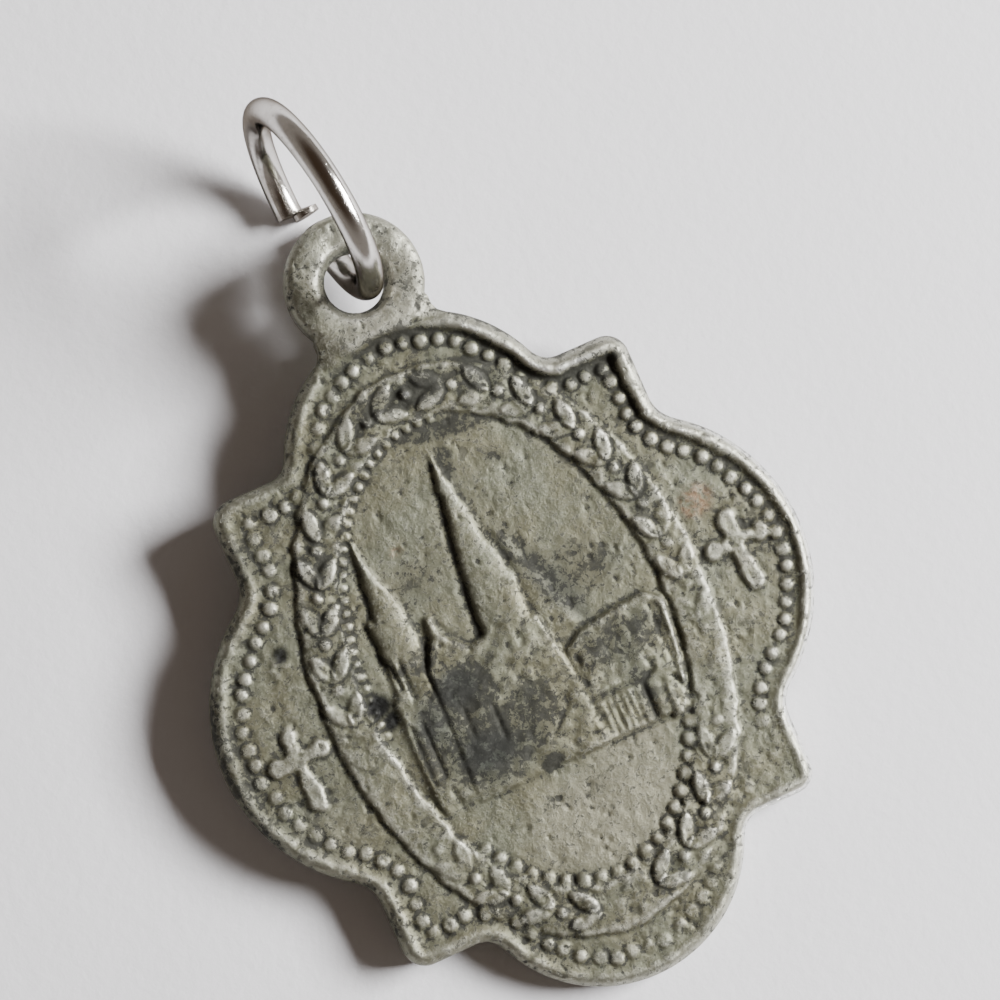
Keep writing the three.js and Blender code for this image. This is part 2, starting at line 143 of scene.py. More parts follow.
def depth_inside(x: Array, y: Array, corners: list[Point]) -> Array:
    """Signed distance to a polygon's edge, positive inside.

    Args:
        x: Where to measure, across.
        y: Where to measure, along.
        corners: The polygon's corners.

    Returns:
        The distance inwards from the edge.
    """
    closed = [*corners, corners[0]]
    inside = np.zeros(x.shape, bool)
    for (ax, ay), (bx, by) in zip(closed, closed[1:]):
        if ay != by:
            crosses = (ay > y) != (by > y)
            inside ^= crosses & (x < (bx - ax) * (y - ay) / (by - ay) + ax)
    distance = line_distance(x, y, closed)
    return np.where(inside, distance, -distance)


def oval_depth(x: Array, y: Array, half_width: float, half_height: float) -> Array:
    """Distance inwards from an oval's edge, true close to it.

    Args:
        x: Where to measure, across.
        y: Where to measure, along.
        half_width: The oval's reach along x.
        half_height: The oval's reach along y.

    Returns:
        The distance, positive inside.
    """
    least_slope = 0.05
    level = (x / half_width) ** 2 + (y / half_height) ** 2 - 1
    slope = 2 * np.hypot(x / half_width**2, y / half_height**2)
    return -level / np.maximum(slope, least_slope)


def bearing(x: Array, y: Array) -> Array:
    """Direction from the medal's centre in degrees, 0 to the right and 90 at the eyelet."""
    return np.degrees(np.arctan2(y, x)) % 360


def around(angle: Array, table: dict[float, float]) -> Array:
    """Reads a table of values by bearing, with a smooth way from one to the next.

    Args:
        angle: Bearings in degrees.
        table: Value at each bearing.

    Returns:
        The values at the bearings.
    """
    return np.interp(angle, list(table), list(table.values()), period=360)


def even_points(line: Array, pitch: float) -> tuple[Array, Array]:
    """Spreads points evenly along a closed line.

    Args:
        line: The line's points, one a row.
        pitch: The wanted distance between neighbours.

    Returns:
        The points, and the line's direction at each in radians.
    """
    closed = np.vstack([line, line[:1]])
    steps = np.hypot(*np.diff(closed, axis=0).T)
    passed = np.concatenate([[0], np.cumsum(steps)])
    count = round(passed[-1] / pitch)
    wanted = np.arange(count) / count * passed[-1]
    points = np.column_stack([np.interp(wanted, passed, closed[:, k]) for k in (0, 1)])
    ahead = np.roll(points, -1, axis=0) - np.roll(points, 1, axis=0)
    return points, np.arctan2(ahead[:, 1], ahead[:, 0])


# modelling helpers


def let_go() -> None:
    """Deselects everything."""
    bpy.ops.object.select_all(action="DESELECT")


def pick(piece: bpy.types.Object) -> None:
    """Makes one object the only selected one, and the active one.

    Args:
        piece: The object.
    """
    let_go()
    piece.select_set(True)
    bpy.context.view_layer.objects.active = piece


def apply_modifier(piece: bpy.types.Object, kind: str, **settings: object) -> None:
    """Adds a modifier to an object and applies it.

    Args:
        piece: The object.
        kind: The modifier's type.
        settings: Its settings by name.
    """
    pick(piece)
    modifier = piece.modifiers.new(kind.title(), kind)
    for name, value in settings.items():
        setattr(modifier, name, value)
    bpy.ops.object.modifier_apply(modifier=modifier.name)


def mesh_points(piece: bpy.types.Object) -> Array:
    """Reads an object's vertices.

    Args:
        piece: The object.

    Returns:
        Their places, one a row.
    """
    points = np.empty(len(piece.data.vertices) * 3)
    piece.data.vertices.foreach_get("co", points)
    return points.reshape(-1, 3)


def move_points(piece: bpy.types.Object, points: Array) -> None:
    """Writes the object's vertices back."""
    piece.data.vertices.foreach_set("co", points.ravel())
    piece.data.update()


def select_edges(piece: bpy.types.Object, wanted: Array) -> None:
    """Selects the edges whose two vertices are both wanted, and enters edit mode.

    Args:
        piece: The object.
        wanted: True for each wanted vertex.
    """
    pick(piece)
    bpy.context.tool_settings.mesh_select_mode = (False, True, False)
    ends = np.empty(len(piece.data.edges) * 2, int)
    piece.data.edges.foreach_get("vertices", ends)
    chosen = wanted[ends].reshape(-1, 2).all(axis=1)
    piece.data.vertices.foreach_set("select", np.zeros(len(wanted), bool))
    piece.data.polygons.foreach_set("select", np.zeros(len(piece.data.polygons), bool))
    piece.data.edges.foreach_set("select", chosen)
    bpy.ops.object.mode_set(mode="EDIT")


def select_faces(piece: bpy.types.Object, chosen: Array) -> None:
    """Selects the chosen faces and enters edit mode.

    Args:
        piece: The object.
        chosen: True for each chosen face.
    """
    pick(piece)
    bpy.ops.object.mode_set(mode="EDIT")
    bpy.ops.mesh.select_all(action="DESELECT")
    bpy.ops.object.mode_set(mode="OBJECT")
    bpy.context.tool_settings.mesh_select_mode = (False, False, True)
    piece.data.polygons.foreach_set("select", chosen)
    bpy.ops.object.mode_set(mode="EDIT")


def round_edge(piece: bpy.types.Object, height: float, radius: float, steps: int = 3) -> None:
    """Rounds the outer edge of a flat piece at one height.

    Args:
        piece: The piece.
        height: Height of the edge.
        radius: How much is taken off.
        steps: Faces across the rounding.
    """
    near = 1e-3
    select_edges(piece, np.abs(mesh_points(piece)[:, 2] - height) < near)
    bpy.ops.mesh.bevel(offset=radius, segments=steps, affect="EDGES", clamp_overlap=False)
    bpy.ops.object.mode_set(mode="OBJECT")


def plate(name: str, outline: Array, low: float, high: float) -> bpy.types.Object:
    """Raises a flat outline into a plate.

    Args:
        name: The plate's name.
        outline: Points of the outline, one a row, anticlockwise.
        low: Height of the underside.
        high: Height of the top.

    Returns:
        The plate.
    """
    let_go()
    bpy.ops.mesh.primitive_circle_add(vertices=len(outline), fill_type="NGON")
    piece = bpy.context.object
    piece.name = name
    move_points(piece, np.column_stack([outline, np.full(len(outline), low)]))
    bpy.ops.object.mode_set(mode="EDIT")
    bpy.ops.mesh.select_all(action="SELECT")
    bpy.ops.mesh.extrude_region_move(TRANSFORM_OT_translate={"value": (0, 0, high - low)})
    bpy.ops.mesh.select_all(action="SELECT")
    bpy.ops.mesh.normals_make_consistent(inside=False)
    bpy.ops.object.mode_set(mode="OBJECT")
    return piece


def give_attribute(piece: bpy.types.Object, name: str, values: Array) -> None:
    """Stores one number for each vertex under a name that the finish reads."""
    attribute = piece.data.attributes.new(name, "FLOAT", "POINT")
    attribute.data.foreach_set("value", values.astype(np.float32))


# the face of the medal as a height map


@dataclass
class Sheet:
    """An even grid of places over the medal's face, in millimetres.

    Attributes:
        half_width: Reach to each side.
        low: Lowest place along y.
        high: Highest place along y.
        pitch: Distance between neighbours.
        x: Each place, across.
        y: Each place, along.
    """

    half_width: float = 12.2
    low: float = -13.6
    high: float = 17.6
    pitch: float = 0.04
    x: Array = field(init=False)
    y: Array = field(init=False)

    def __post_init__(self) -> None:
        """Lays the grid out."""
        columns = np.arange(-self.half_width, self.half_width, self.pitch)
        rows = np.arange(self.low, self.high, self.pitch)
        self.x, self.y = np.meshgrid(columns, rows)

    def window(self, x: float, y: float, reach: float) -> Part:
        """The part of the grid around a place.

        Args:
            x: The place, across.
            y: The place, along.
            reach: How far the part goes to each side.

        Returns:
            Row and column slices.
        """
        rows, columns = self.x.shape
        column, row = (x + self.half_width) / self.pitch, (y - self.low) / self.pitch
        cells = reach / self.pitch
        return (
            slice(max(int(row - cells), 0), min(int(row + cells) + 2, rows)),
            slice(max(int(column - cells), 0), min(int(column + cells) + 2, columns)),
        )

    def around_points(self, points: list[Point], spare: float) -> Part:
        """The part of the grid around several points.

        Args:
            points: The points.
            spare: Room to each side of them.

        Returns:
            Row and column slices.
        """
        xs, ys = zip(*points)
        middle = ((min(xs) + max(xs)) / 2, (min(ys) + max(ys)) / 2)
        reach = max(max(xs) - min(xs), max(ys) - min(ys)) / 2 + spare
        return self.window(*middle, reach)

    def blur(self, values: Array, radius: float) -> Array:
        """Spreads values out with a soft round brush.

        Args:
            values: One value a place.
            radius: The brush's radius in millimetres.

        Returns:
            The blurred values.
        """
        rows, columns = values.shape
        along = np.fft.fftfreq(rows, self.pitch)[:, None]
        across = np.fft.rfftfreq(columns, self.pitch)[None, :]
        keep = np.exp(-2 * (math.pi * radius) ** 2 * (along**2 + across**2))
        return np.fft.irfft2(np.fft.rfft2(values) * keep, s=values.shape)

    def grain(self, source: np.random.Generator, radius: float) -> Array:
        """Even random lumps.

        Args:
            source: The random source.
            radius: Size of the lumps.

        Returns:
            Values around 0 with a spread of 1.
        """
        lumps = self.blur(source.standard_normal(self.x.shape), radius)
        return lumps / lumps.std()

    def sample(self, values: Array, x: Array, y: Array) -> Array:
        """Reads values anywhere between the grid's places.

        Args:
            values: One value a place.
            x: Where to read, across.
            y: Where to read, along.

        Returns:
            The values there.
        """
        rows, columns = values.shape
        last_cell = 1.001
        column = np.clip((x + self.half_width) / self.pitch, 0, columns - last_cell)
        row = np.clip((y - self.low) / self.pitch, 0, rows - last_cell)
        i, j = row.astype(int), column.astype(int)
        up, right = row - i, column - j
        low = values[i, j] * (1 - right) + values[i, j + 1] * right
        high = values[i + 1, j] * (1 - right) + values[i + 1, j + 1] * right
        return low * (1 - up) + high * up


@dataclass(frozen=True)
class Outline:
    """The medal's outline: four round lobes over a rectangle with rounded corners.

    Attributes:
        side_reach: Centre to the end of a side lobe.
        side_radius: Radius of a side lobe.
        end_reach: Centre to the end of the top or bottom lobe.
        end_radius: Radius of the top or bottom lobe.
        tip_half_width: Half the rectangle's width.
        tip_half_height: Half the rectangle's height.
        tip_corner: Radius of the rectangle's corners.
        blend: Fillet in the notches.
    """

    side_reach: float = 11.43
    side_radius: float = 6.43
    end_reach: float = 12.82
    end_radius: float = 5.25
    tip_half_width: float = 8.16
    tip_half_height: float = 9.05
    tip_corner: float = 0.85
    blend: float = 0.65

    def outside(self, x: Array, y: Array) -> Array:
        """Signed distance to the outline, negative inside.

        Args:
            x: Where to measure, across.
            y: Where to measure, along.

        Returns:
            The distance.
        """
        side = np.hypot(np.abs(x) - self.side_reach + self.side_radius, y) - self.side_radius
        end = np.hypot(x, np.abs(y) - self.end_reach + self.end_radius) - self.end_radius
        over_x = np.abs(x) - self.tip_half_width + self.tip_corner
        over_y = np.abs(y) - self.tip_half_height + self.tip_corner
        corner = np.hypot(np.maximum(over_x, 0), np.maximum(over_y, 0))
        tip = corner + np.minimum(np.maximum(over_x, over_y), 0) - self.tip_corner
        return -soft_max(soft_max(-side, -tip, self.blend), -end, self.blend)

    def line(self, count: int, inset: float = 0.0, depth: Array | None = None,
             sheet: Sheet | None = None) -> Array:
        """Points around the outline, or around a line inside it.

        Args:
            count: How many points.
            inset: Distance inwards from the outline.
            depth: Distance inwards at each place of the sheet, for a line with an inset.
            sheet: That sheet.

        Returns:
            The points, one a row, anticlockwise from +x.
        """
        step = 0.02
        angles = np.arange(count) / count * FULL_TURN
        reach = np.arange(step, self.side_reach + self.end_radius, step)
        x = np.cos(angles)[:, None] * reach
        y = np.sin(angles)[:, None] * reach
        room = -self.outside(x, y) if depth is None else sheet.sample(depth, x, y) - inset
        last = room.shape[1] - 2 - np.argmax(room[:, ::-1][:, 1:] > 0, axis=1)
        rows = np.arange(count)
        over = room[rows, last] / (room[rows, last] - room[rows, last + 1])
        found = reach[last] + np.clip(over, 0, 1) * step
        return np.column_stack([found * np.cos(angles), found * np.sin(angles)])

    def depth(self, sheet: Sheet, reach: float = 2.6) -> Array:
        """True distance inwards from the outline, up to a reach.

        Args:
            sheet: Where to measure.
            reach: The most that is measured.

        Returns:
            The distance at each place, negative outside.
        """
        corners, spacing = 3000, 0.04
        edge, _ = even_points(self.line(corners), spacing)
        distance = np.full(sheet.x.shape, reach)
        for x, y in edge:
            part = sheet.window(x, y, reach)
            away = np.hypot(sheet.x[part] - x, sheet.y[part] - y)
            distance[part] = np.minimum(distance[part], away)
        return np.where(self.outside(sheet.x, sheet.y) < 0, distance, -distance)


@dataclass(frozen=True)
class Block:
    """A flat raised form: its corners, its rise above the field and the width of its soft edge."""

    corners: list[Point]
    rise: float
    edge: float = 0.16


@dataclass(frozen=True)
class Tower:
    """A rounded upright form.

    Attributes:
        stations: Height, left edge and right edge at each level, from the foot up.
        rise: Rise above the field at the foot and at the top.
        fullness: 0.5 for a round section, less for a flatter one.
    """

    stations: list[Triple]
    rise: tuple[float, float]
    fullness: float = 0.5


@dataclass(frozen=True)
class Groove:
    """A cut along a line, or a ridge where its depth is negative."""

    points: list[Point]
    depth: float
    width: float = 0.09


@dataclass(frozen=True)
class Patch:
    """A soft oval patch: its middle, reach along and across, turn in degrees and strength."""

    x: float
    y: float
    along: float
    across: float
    turn: float = 0.0
    strength: float = 1.0

    def cover(self, sheet: Sheet) -> Array:
        """How much the patch covers each place of the sheet.

        Args:
            sheet: Where to measure.

        Returns:
            The cover, from 0 to the patch's strength.
        """
        cos, sin = math.cos(math.radians(self.turn)), math.sin(math.radians(self.turn))
        dx, dy = sheet.x - self.x, sheet.y - self.y
        level = np.hypot((dx * cos + dy * sin) / self.along, (dy * cos - dx * sin) / self.across)
        whole, gone = 0.55, 1.25
        return self.strength * (1 - smooth_step(level, whole, gone))


@dataclass(frozen=True)
class BeadRow:
    """A row of small beads along the band's inner edge.

    Attributes:
        first: Bearing at which it starts.
        last: Bearing at which it ends.
        inset: Distance of the row from the band's inner edge.
        radius: Radius of a bead.
        pitch: Distance between beads.
    """

    first: float
    last: float
    inset: float
    radius: float
    pitch: float


@dataclass
class Face:
    """The face of the medal, from its rim to the church in the middle.

    Attributes:
        outline: The medal's outline.
        sheet: The places at which the face is worked out.
        field_height: Height of the field above the back.
        rim_height: Height of the unworn rim above the back.
        rim_width: Width of the rim.
        rubbed_edge: How far the rim's outer edge is rubbed down where it is worn most.
        bead_radius: Radius of the beads inside the rim.
        bead_rise: Their rise above the field.
        bead_pitch: Distance between them.
        bead_inset: Distance of their row from the outline.
        band: Half width and half height of the band's outer edge.
        band_width: Width of the band at its sides and at its ends.
        band_rise: Its rise above the field.
        small_bead_rise: Rise of the beads along the band's inner edge.
        leaf: Length, width and rise of a leaf on the band.
        berry: Radius and rise of the berries between the leaves.
        leaf_pitch: Distance between pairs of leaves.
        leaf_spread: Angle of a leaf to the band's line, in degrees.
        leaf_offset: Distance of a leaf's middle from that line.
        eyelet_y: Middle of the eyelet.
        eyelet_radius: Its radius.
        eyelet_top: Its height above the back.
        hole_radius: Radius of its hole.
        chamfer: Width of the worn edge around the hole.
        chamfer_depth: How far that edge dips.
        dents: How many small dents are strewn over the face.
        seed: Start of the random source.
        angle: Bearing of each place of the sheet.
        depth: Its distance inwards from the outline.
        lumps: Random lumps around 0 that make edges uneven.
        from_inner_edge: Distance inwards from the band's inner edge.
        on_band: 1 on the band and 0 off it.
        on_church: 1 on the church's walls and 0 off them.
        height: Height above the back.
        pits: Dark lines and dents.
        rough: How rough the casting is.
        stain: Dark patina.
    """

    outline: Outline
    sheet: Sheet = field(default_factory=Sheet)
    field_height: float = 1.15
    rim_height: float = 1.65
    rim_width: float = 0.72
    rubbed_edge: float = 0.17
    bead_radius: float = 0.29
    bead_rise: float = 0.16
    bead_pitch: float = 0.65
    bead_inset: float = 1.09
    band: tuple[float, float] = (7.4, 10.85)
    band_width: tuple[float, float] = (1.7, 1.95)
    band_rise: float = 0.14
    small_bead_rise: float = 0.15
    leaf: Triple = (1.3, 0.62, 0.12)
    berry: tuple[float, float] = (0.25, 0.1)
    leaf_pitch: float = 1.7
    leaf_spread: float = 30.0
    leaf_offset: float = 0.33
    eyelet_y: float = 14.36
    eyelet_radius: float = 2.54
    eyelet_top: float = 1.59
    hole_radius: float = 1.08
    chamfer: float = 0.34
    chamfer_depth: float = 0.42
    dents: int = 700
    seed: int = 11
    angle: Array = field(init=False)
    depth: Array = field(init=False)
    lumps: Array = field(init=False)
    from_inner_edge: Array = field(init=False)
    on_band: Array = field(init=False)
    on_church: Array = field(init=False)
    height: Array = field(init=False)
    pits: Array = field(init=False)
    rough: Array = field(init=False)
    stain: Array = field(init=False)

    # How much is left of each form, how wide the rim's inner slope is, how far the outer edge is rubbed
    # and how strong its painted highlight is (most on the lit right side), and how strong the patina is,
    # by bearing in degrees.
    RIM_KEPT = {15: 0.38, 35: 0.48, 60: 0.75, 78: 0.6, 92: 0.2, 102: 0.12, 130: 0.14, 165: 0.2,
                200: 0.3, 232: 0.3, 270: 0.28, 300: 0.28, 318: 0.24, 345: 0.34}
    RIM_SLOPE = {20: 0.24, 60: 0.22, 85: 0.3, 100: 0.7, 130: 0.8, 165: 0.7, 200: 0.7, 232: 0.9,
                 270: 1.2, 300: 1.2, 318: 1.1, 345: 0.4}
    # Outer edge: rubbed metal, and above 1 a painted highlight on the right side, where the light falls.
    EDGE_RUBBED_AND_HIGHLIGHT = {0: 1.2, 60: 0.7, 100: 0.25, 200: 0.1, 250: 0.3, 300: 1.1, 330: 1.3}
    BEADS_KEPT = {0: 0.95, 60: 1.0, 80: 1.0, 100: 0.8, 130: 0.75, 160: 0.85, 190: 0.7, 225: 0.75,
                  250: 0.85, 262: 0.7, 280: 0.5, 300: 0.5, 312: 0.15, 322: 0.7, 345: 0.9}
    SMALL_BEAD_ROWS = [
        BeadRow(82, 196, 0.05, 0.21, 0.46),
        BeadRow(230, 324, 0.12, 0.29, 0.63),
    ]
    LEAVES_KEPT = {0: 0.55, 25: 0.75, 60: 0.95, 90: 0.8, 130: 0.9, 165: 0.8, 186: 0.45,
                   198: 0.0, 226: 0.15, 240: 0.9, 300: 1.0, 312: 0.5, 325: 0.0, 348: 0.25}
    PATINA = {20: 0.7, 60: 1.0, 85: 1.0, 105: 0.8, 130: 0.75, 180: 0.8, 225: 0.75, 270: 0.55,
              300: 0.45, 330: 0.55}

    # The lines cut along the band's outer and inner edge: depth, unevenness, shift and width.
    BAND_CUTS = [(0.045, 0.025, 0.06, 0.06), (0.05, 0.03, -0.08, 0.07)]
    # The casting's lumps, height and size, and the rougher ones on the band and the church.
    LUMPS = [(0.012, 0.8), (0.006, 0.22), (0.004, 0.08)]
    ROUGH_RISE = 0.015
    ROUGH_SIZES = (0.11, 0.28)

    # The church's flat parts: its ground, walls, gable, porch and window.
    BLOCKS = [
        Block([(-5.2, -5.0), (6.1, -4.9), (6.0, -4.45), (-5.2, -4.5)], 0.05, 0.35),
        Block([(-4.95, -4.5), (-3.2, -4.5), (-3.35, 1.1), (-4.6, 1.1), (-4.65, 0.3), (-4.9, 0.0)],
              0.15, 0.4),
        Block([(-3.5, -4.5), (1.64, -4.46), (1.6, -2.68), (1.46, -1.07), (1.1, 0.9), (-0.75, 1.05),
               (-1.4, 0.9), (-2.0, 1.3), (-2.35, 1.6), (-2.85, 1.5), (-3.3, 0.6)], 0.22, 0.18),
        Block([(0.9, 4.3), (1.3, 3.8), (2.5, -0.1), (1.1, 0.0)], 0.1, 0.5),
        Block([(1.5, -4.45), (5.6, -4.45), (5.6, -0.45), (4.95, 0.05), (2.4, -0.25), (1.5, -0.8)],
              0.17),
        Block([(4.95, -4.45), (6.05, -4.45), (6.0, -3.15), (4.95, -3.2)], 0.25),
        Block([(5.2, -3.2), (5.6, -3.2), (5.62, -0.6), (5.25, -0.4)], 0.25, 0.12),
        Block([(1.85, -1.6), (2.9, -1.6), (2.9, -1.1), (1.85, -1.1)], 0.26, 0.12),
        Block([(4.2, -4.6), (4.65, -4.6), (4.5, -3.4), (4.3, -3.4)], 0.24, 0.14),
        Block([(2.95, -2.2), (4.0, -2.1), (3.95, -1.2), (3.0, -1.3)], 0.12, 0.12),
    ]
    TOWERS = [
        Tower([(-0.6, -1.25, 1.3), (0.3, -1.15, 1.1), (1.25, -1.04, 0.97), (2.68, -0.89, 0.9),
               (4.46, -0.71, 0.52), (6.0, -0.38, 0.24), (6.3, -0.42, 0.24), (6.6, -0.28, 0.12),
               (7.64, -0.17, 0.01)],
              (0.3, 0.17), 0.28),
        Tower([(0.7, -4.6, -3.3), (1.79, -4.64, -3.07), (2.95, -4.64, -3.15), (3.2, -4.36, -3.19),
               (3.93, -4.27, -3.38), (4.64, -4.18, -3.64), (5.6, -4.07, -3.86), (6.0, -4.03, -3.87)],
              (0.28, 0.15), 0.35),
        Tower([(1.1, -2.9, -2.2), (1.8, -2.78, -2.3), (2.35, -2.65, -2.47)], (0.22, 0.15)),
    ]
    GROOVES = [
        Groove([(-1.06, 1.0), (-0.98, 2.4), (-0.72, 4.3), (-0.42, 6.0)], 0.13, 0.13),
        Groove([(-1.15, 0.95), (-1.5, 0.88), (-2.0, 1.25), (-2.3, 1.9)], 0.08, 0.1),
        Groove([(-4.22, 5.5), (-4.35, 3.9), (-4.4, 2.9)], 0.08, 0.09),
        Groove([(-4.72, 3.1), (-4.74, 1.6), (-4.7, 0.9)], 0.09, 0.09),
        Groove([(-2.95, 2.3), (-3.02, 1.4)], 0.09, 0.1),
        Groove([(-4.12, 1.35), (-4.14, -0.1)], 0.1, 0.06),
        Groove([(-4.44, 1.3), (-4.44, 0.3)], 0.1, 0.06),
        Groove([(-4.25, -1.05), (-4.25, -3.1)], 0.1, 0.07),
        Groove([(-4.68, -1.0), (-4.7, -3.3)], 0.07, 0.07),
        Groove([(-2.7, -1.1), (-2.75, -2.4)], 0.06, 0.08),
        Groove([(-1.7, -1.5), (-1.72, -2.7)], 0.07, 0.08),
        Groove([(-4.2, -3.6), (-4.1, -4.5)], 0.06, 0.08),
        Groove([(0.75, -2.6), (-0.2, -3.5)], 0.06, 0.07),
        Groove([(2.5, -0.2), (3.6, 0.02), (4.95, 0.1)], 0.1, 0.09),
        Groove([(1.65, -2.85), (2.9, -2.8), (3.7, -2.92), (4.2, -2.6), (4.1, -2.3)], 0.09, 0.08),
        Groove([(3.6, -3.1), (3.6, -4.3)], 0.12, 0.09),
        Groove([(1.65, -4.55), (4.15, -4.55)], 0.08, 0.06),
        Groove([(4.68, -4.5), (6.0, -4.5)], 0.08, 0.06),
        Groove([(-2.6, -4.6), (-0.9, -4.55), (-0.2, -4.35)], 0.07, 0.08),
        Groove([(4.95, -0.5), (4.95, -3.1)], 0.05, 0.07),
        Groove([(4.75, -3.2), (4.9, -3.6), (5.1, -3.9)], 0.08, 0.08),
    ]
    SCRATCH = Groove([(5.2, 2.1), (4.7, 1.5), (4.1, 1.1), (3.2, 0.7)], -0.035, 0.06)
    # Upright ribs on the church's wall: their left end, right end and pitch, and their foot and top.
    STRIPES = (1.8, 3.35, 0.27)
    STRIPE_SPAN = (-4.4, -3.0)
    # The crosses: their middles, the reach of an arm sideways, up and down, and half their stroke.
    LEFT_CROSS = (-8.78, -0.43)
    RIGHT_CROSS = (8.86, 0.28)
    CROSS_ARM = (0.86, 0.88, 1.6)
    CROSS_STROKE = 0.31
    CROSS_LOBE = 0.37
    CROSS_RISE = 0.14
    # The part of the face that has dents, across and along.
    DENTED_X = (-11, 11)
    DENTED_Y = (-12.4, 16.6)

    # Where the metal has dark blots, is dull, pale or bluish, and has a little rust.
    BLOTS = [
        Patch(-5.43, 0.15, 0.55, 0.5, 0, 1.0),
        Patch(-5.2, -0.5, 0.45, 0.3, 60, 1.0),
        Patch(-7.87, 3.25, 0.36, 0.36, 0, 0.9),
    ]
    DULL_PATCHES = [
        Patch(0.6, 8.3, 1.8, 0.4, -8, 0.95),
        Patch(0.36, 7.2, 0.3, 0.8, 0, 0.85),
        Patch(2.0, 6.7, 0.25, 0.4, 20, 0.7),
        Patch(-2.4, 3.7, 1.1, 1.0, 0, 0.4),
        Patch(1.85, 2.2, 2.6, 0.6, 112, 0.7),
        Patch(3.2, 1.7, 1.6, 1.1, 0, 0.6),
        Patch(-2.5, -0.7, 1.5, 1.2, 0, 0.9),
        Patch(-2.3, -2.8, 1.7, 1.5, 0, 0.95),
        Patch(-0.6, -2.4, 1.4, 1.4, 0, 0.7),
        Patch(-0.5, -4.2, 0.5, 0.35, 20, 1.0),
        Patch(-3.9, -2.0, 1.0, 1.7, 0, 0.55),
        Patch(-3.3, 1.0, 0.6, 0.5, 0, 0.6),
        Patch(3.4, -1.2, 1.7, 0.8, 0, 0.6),
        Patch(3.6, -3.0, 0.4, 0.9, 0, 0.6),
        Patch(4.6, -1.2, 0.7, 0.5, 0, 0.5),
        Patch(0.6, 10.0, 1.3, 0.6, 5, 0.8),
        Patch(2.6, 9.7, 1.0, 0.6, -30, 0.6),
        Patch(-1.4, 9.9, 1.2, 0.6, 5, 0.5),
        Patch(4.2, 11.2, 1.6, 0.45, -55, 0.8),
        Patch(6.6, 8.2, 1.3, 0.5, 0, 0.7),
        Patch(3.0, 12.0, 1.2, 0.35, -40, 0.6),
        Patch(-6.3, 3.4, 0.8, 0.6, 60, 0.45),
        Patch(-5.6, 5.6, 1.0, 0.6, 60, 0.4),
        Patch(0.0, -5.6, 2.2, 0.4, 0, 0.25),
        Patch(-9.4, -3.4, 0.9, 0.6, 40, 0.4),
        Patch(6.4, 3.4, 1.2, 0.6, 110, 0.4),
        Patch(-0.8, 12.6, 0.7, 0.5, 0, 0.35),
        Patch(-10.9, 0.5, 0.6, 4.6, 0, 0.5),
        Patch(-9.0, -6.6, 1.8, 0.6, -40, 0.4),
        Patch(-8.2, 6.6, 1.6, 0.7, 40, 0.5),
        Patch(0.4, 12.0, 1.8, 0.5, 0, 0.55),
        Patch(1.9, 13.6, 0.6, 0.9, 0, 0.45),
        Patch(-1.5, 15.4, 0.9, 0.5, 35, 0.4),
        Patch(9.6, 5.6, 1.8, 0.4, -50, 0.5),
    ]
    PALE_PATCHES = [
        Patch(0.7, -6.8, 3.4, 2.1, 0, 1.0),
        Patch(2.2, -5.0, 1.8, 0.9, 0, 0.8),
        Patch(-8.9, -3.6, 1.6, 1.4, 30, 0.4),
    ]
    BLUISH_PATCHES = [
        Patch(-2.6, -0.4, 0.9, 0.75, 0, 1.0),
        Patch(-2.5, -2.9, 1.1, 0.8, 0, 1.0),
        Patch(-3.9, -1.2, 0.7, 0.9, 0, 0.7),
        Patch(2.2, 1.4, 1.6, 0.6, 112, 0.6),
    ]
    RUSTY_PATCHES = [
        Patch(8.1, 2.2, 0.75, 0.6, 20, 1.0),
        Patch(-2.6, 4.9, 0.3, 0.2, 0, 0.8),
        Patch(-3.9, 12.3, 0.4, 0.3, 0, 0.8),
    ]

    def __post_init__(self) -> None:
        """Works out the height, the stains and the pits at each place of the sheet."""
        source = np.random.default_rng(self.seed)
        sheet = self.sheet
        self.angle = bearing(sheet.x, sheet.y)
        self.depth = self.outline.depth(sheet)
        self.height = np.full(sheet.x.shape, self.field_height)
        self.pits = np.zeros(sheet.x.shape)
        self.lumps = sheet.grain(source, 0.2)
        self.add_band()
        self.add_church()
        self.add_crosses()
        self.add_small_beads(source)
        self.add_leaves(source)
        self.add_beads(source)
        self.add_rim(source)
        self.add_eyelet()
        self.wear(source)
        self.stain = self.stains()

    def add_disc(self, x: float, y: float, radius: float, rise: float) -> None:
        """Raises a bead with a worn, flattened top and a dark line around it.

        Args:
            x: Its middle, across.
            y: Its middle, along.
            radius: Its radius.
            rise: Its rise above the field.
        """
        sunk, line_width = 0.02, 0.055
        part = self.sheet.window(x, y, 2 * radius)
        away = np.hypot(self.sheet.x[part] - x, self.sheet.y[part] - y)
        dome = np.clip(1 - (away / radius) ** 4, 0, None) ** 0.6
        self.raise_to(part, self.field_height + rise * dome - sunk, sunk)
        darkness = min(5.5 * rise, 0.85)
        self.pits[part] += darkness * bell(away - radius - sunk, line_width)

    def raise_to(self, part: Part, top: Array, blend: float = 0.03) -> None:
        """Raises part of the face where a form stands above it."""
        self.height[part] = soft_max(self.height[part], top, blend)

    def add_rim(self, source: np.random.Generator) -> None:
        """Raises the rim, lower and softer where the medal is worn.

        Args:
            source: The random source.
        """
        crown_drop, foot_spread, edge_width, blend = 0.06, 0.3, 0.38, 0.04
        kept = around(self.angle, self.RIM_KEPT)
        slope = around(self.angle, self.RIM_SLOPE)
        uneven = 0.05 * self.sheet.grain(source, 0.7) + 0.03 * self.sheet.grain(source, 0.25)
        rise = (self.rim_height - self.field_height) * kept
        middle = self.rim_width / 2
        crown = crown_drop * smooth_step(np.abs(self.depth - middle), 0.1, middle)
        foot = self.rim_width + foot_spread * slope
        wall = 1 - smooth_step(self.depth + uneven, foot - slope, foot)
        self.height = soft_max(self.height, self.field_height + (rise - crown) * wall, blend)
        rubbed = self.rubbed_edge * around(self.angle, self.EDGE_RUBBED_AND_HIGHLIGHT)
        self.height -= rubbed * np.clip(1 - np.abs(self.depth) / edge_width, 0, 1)

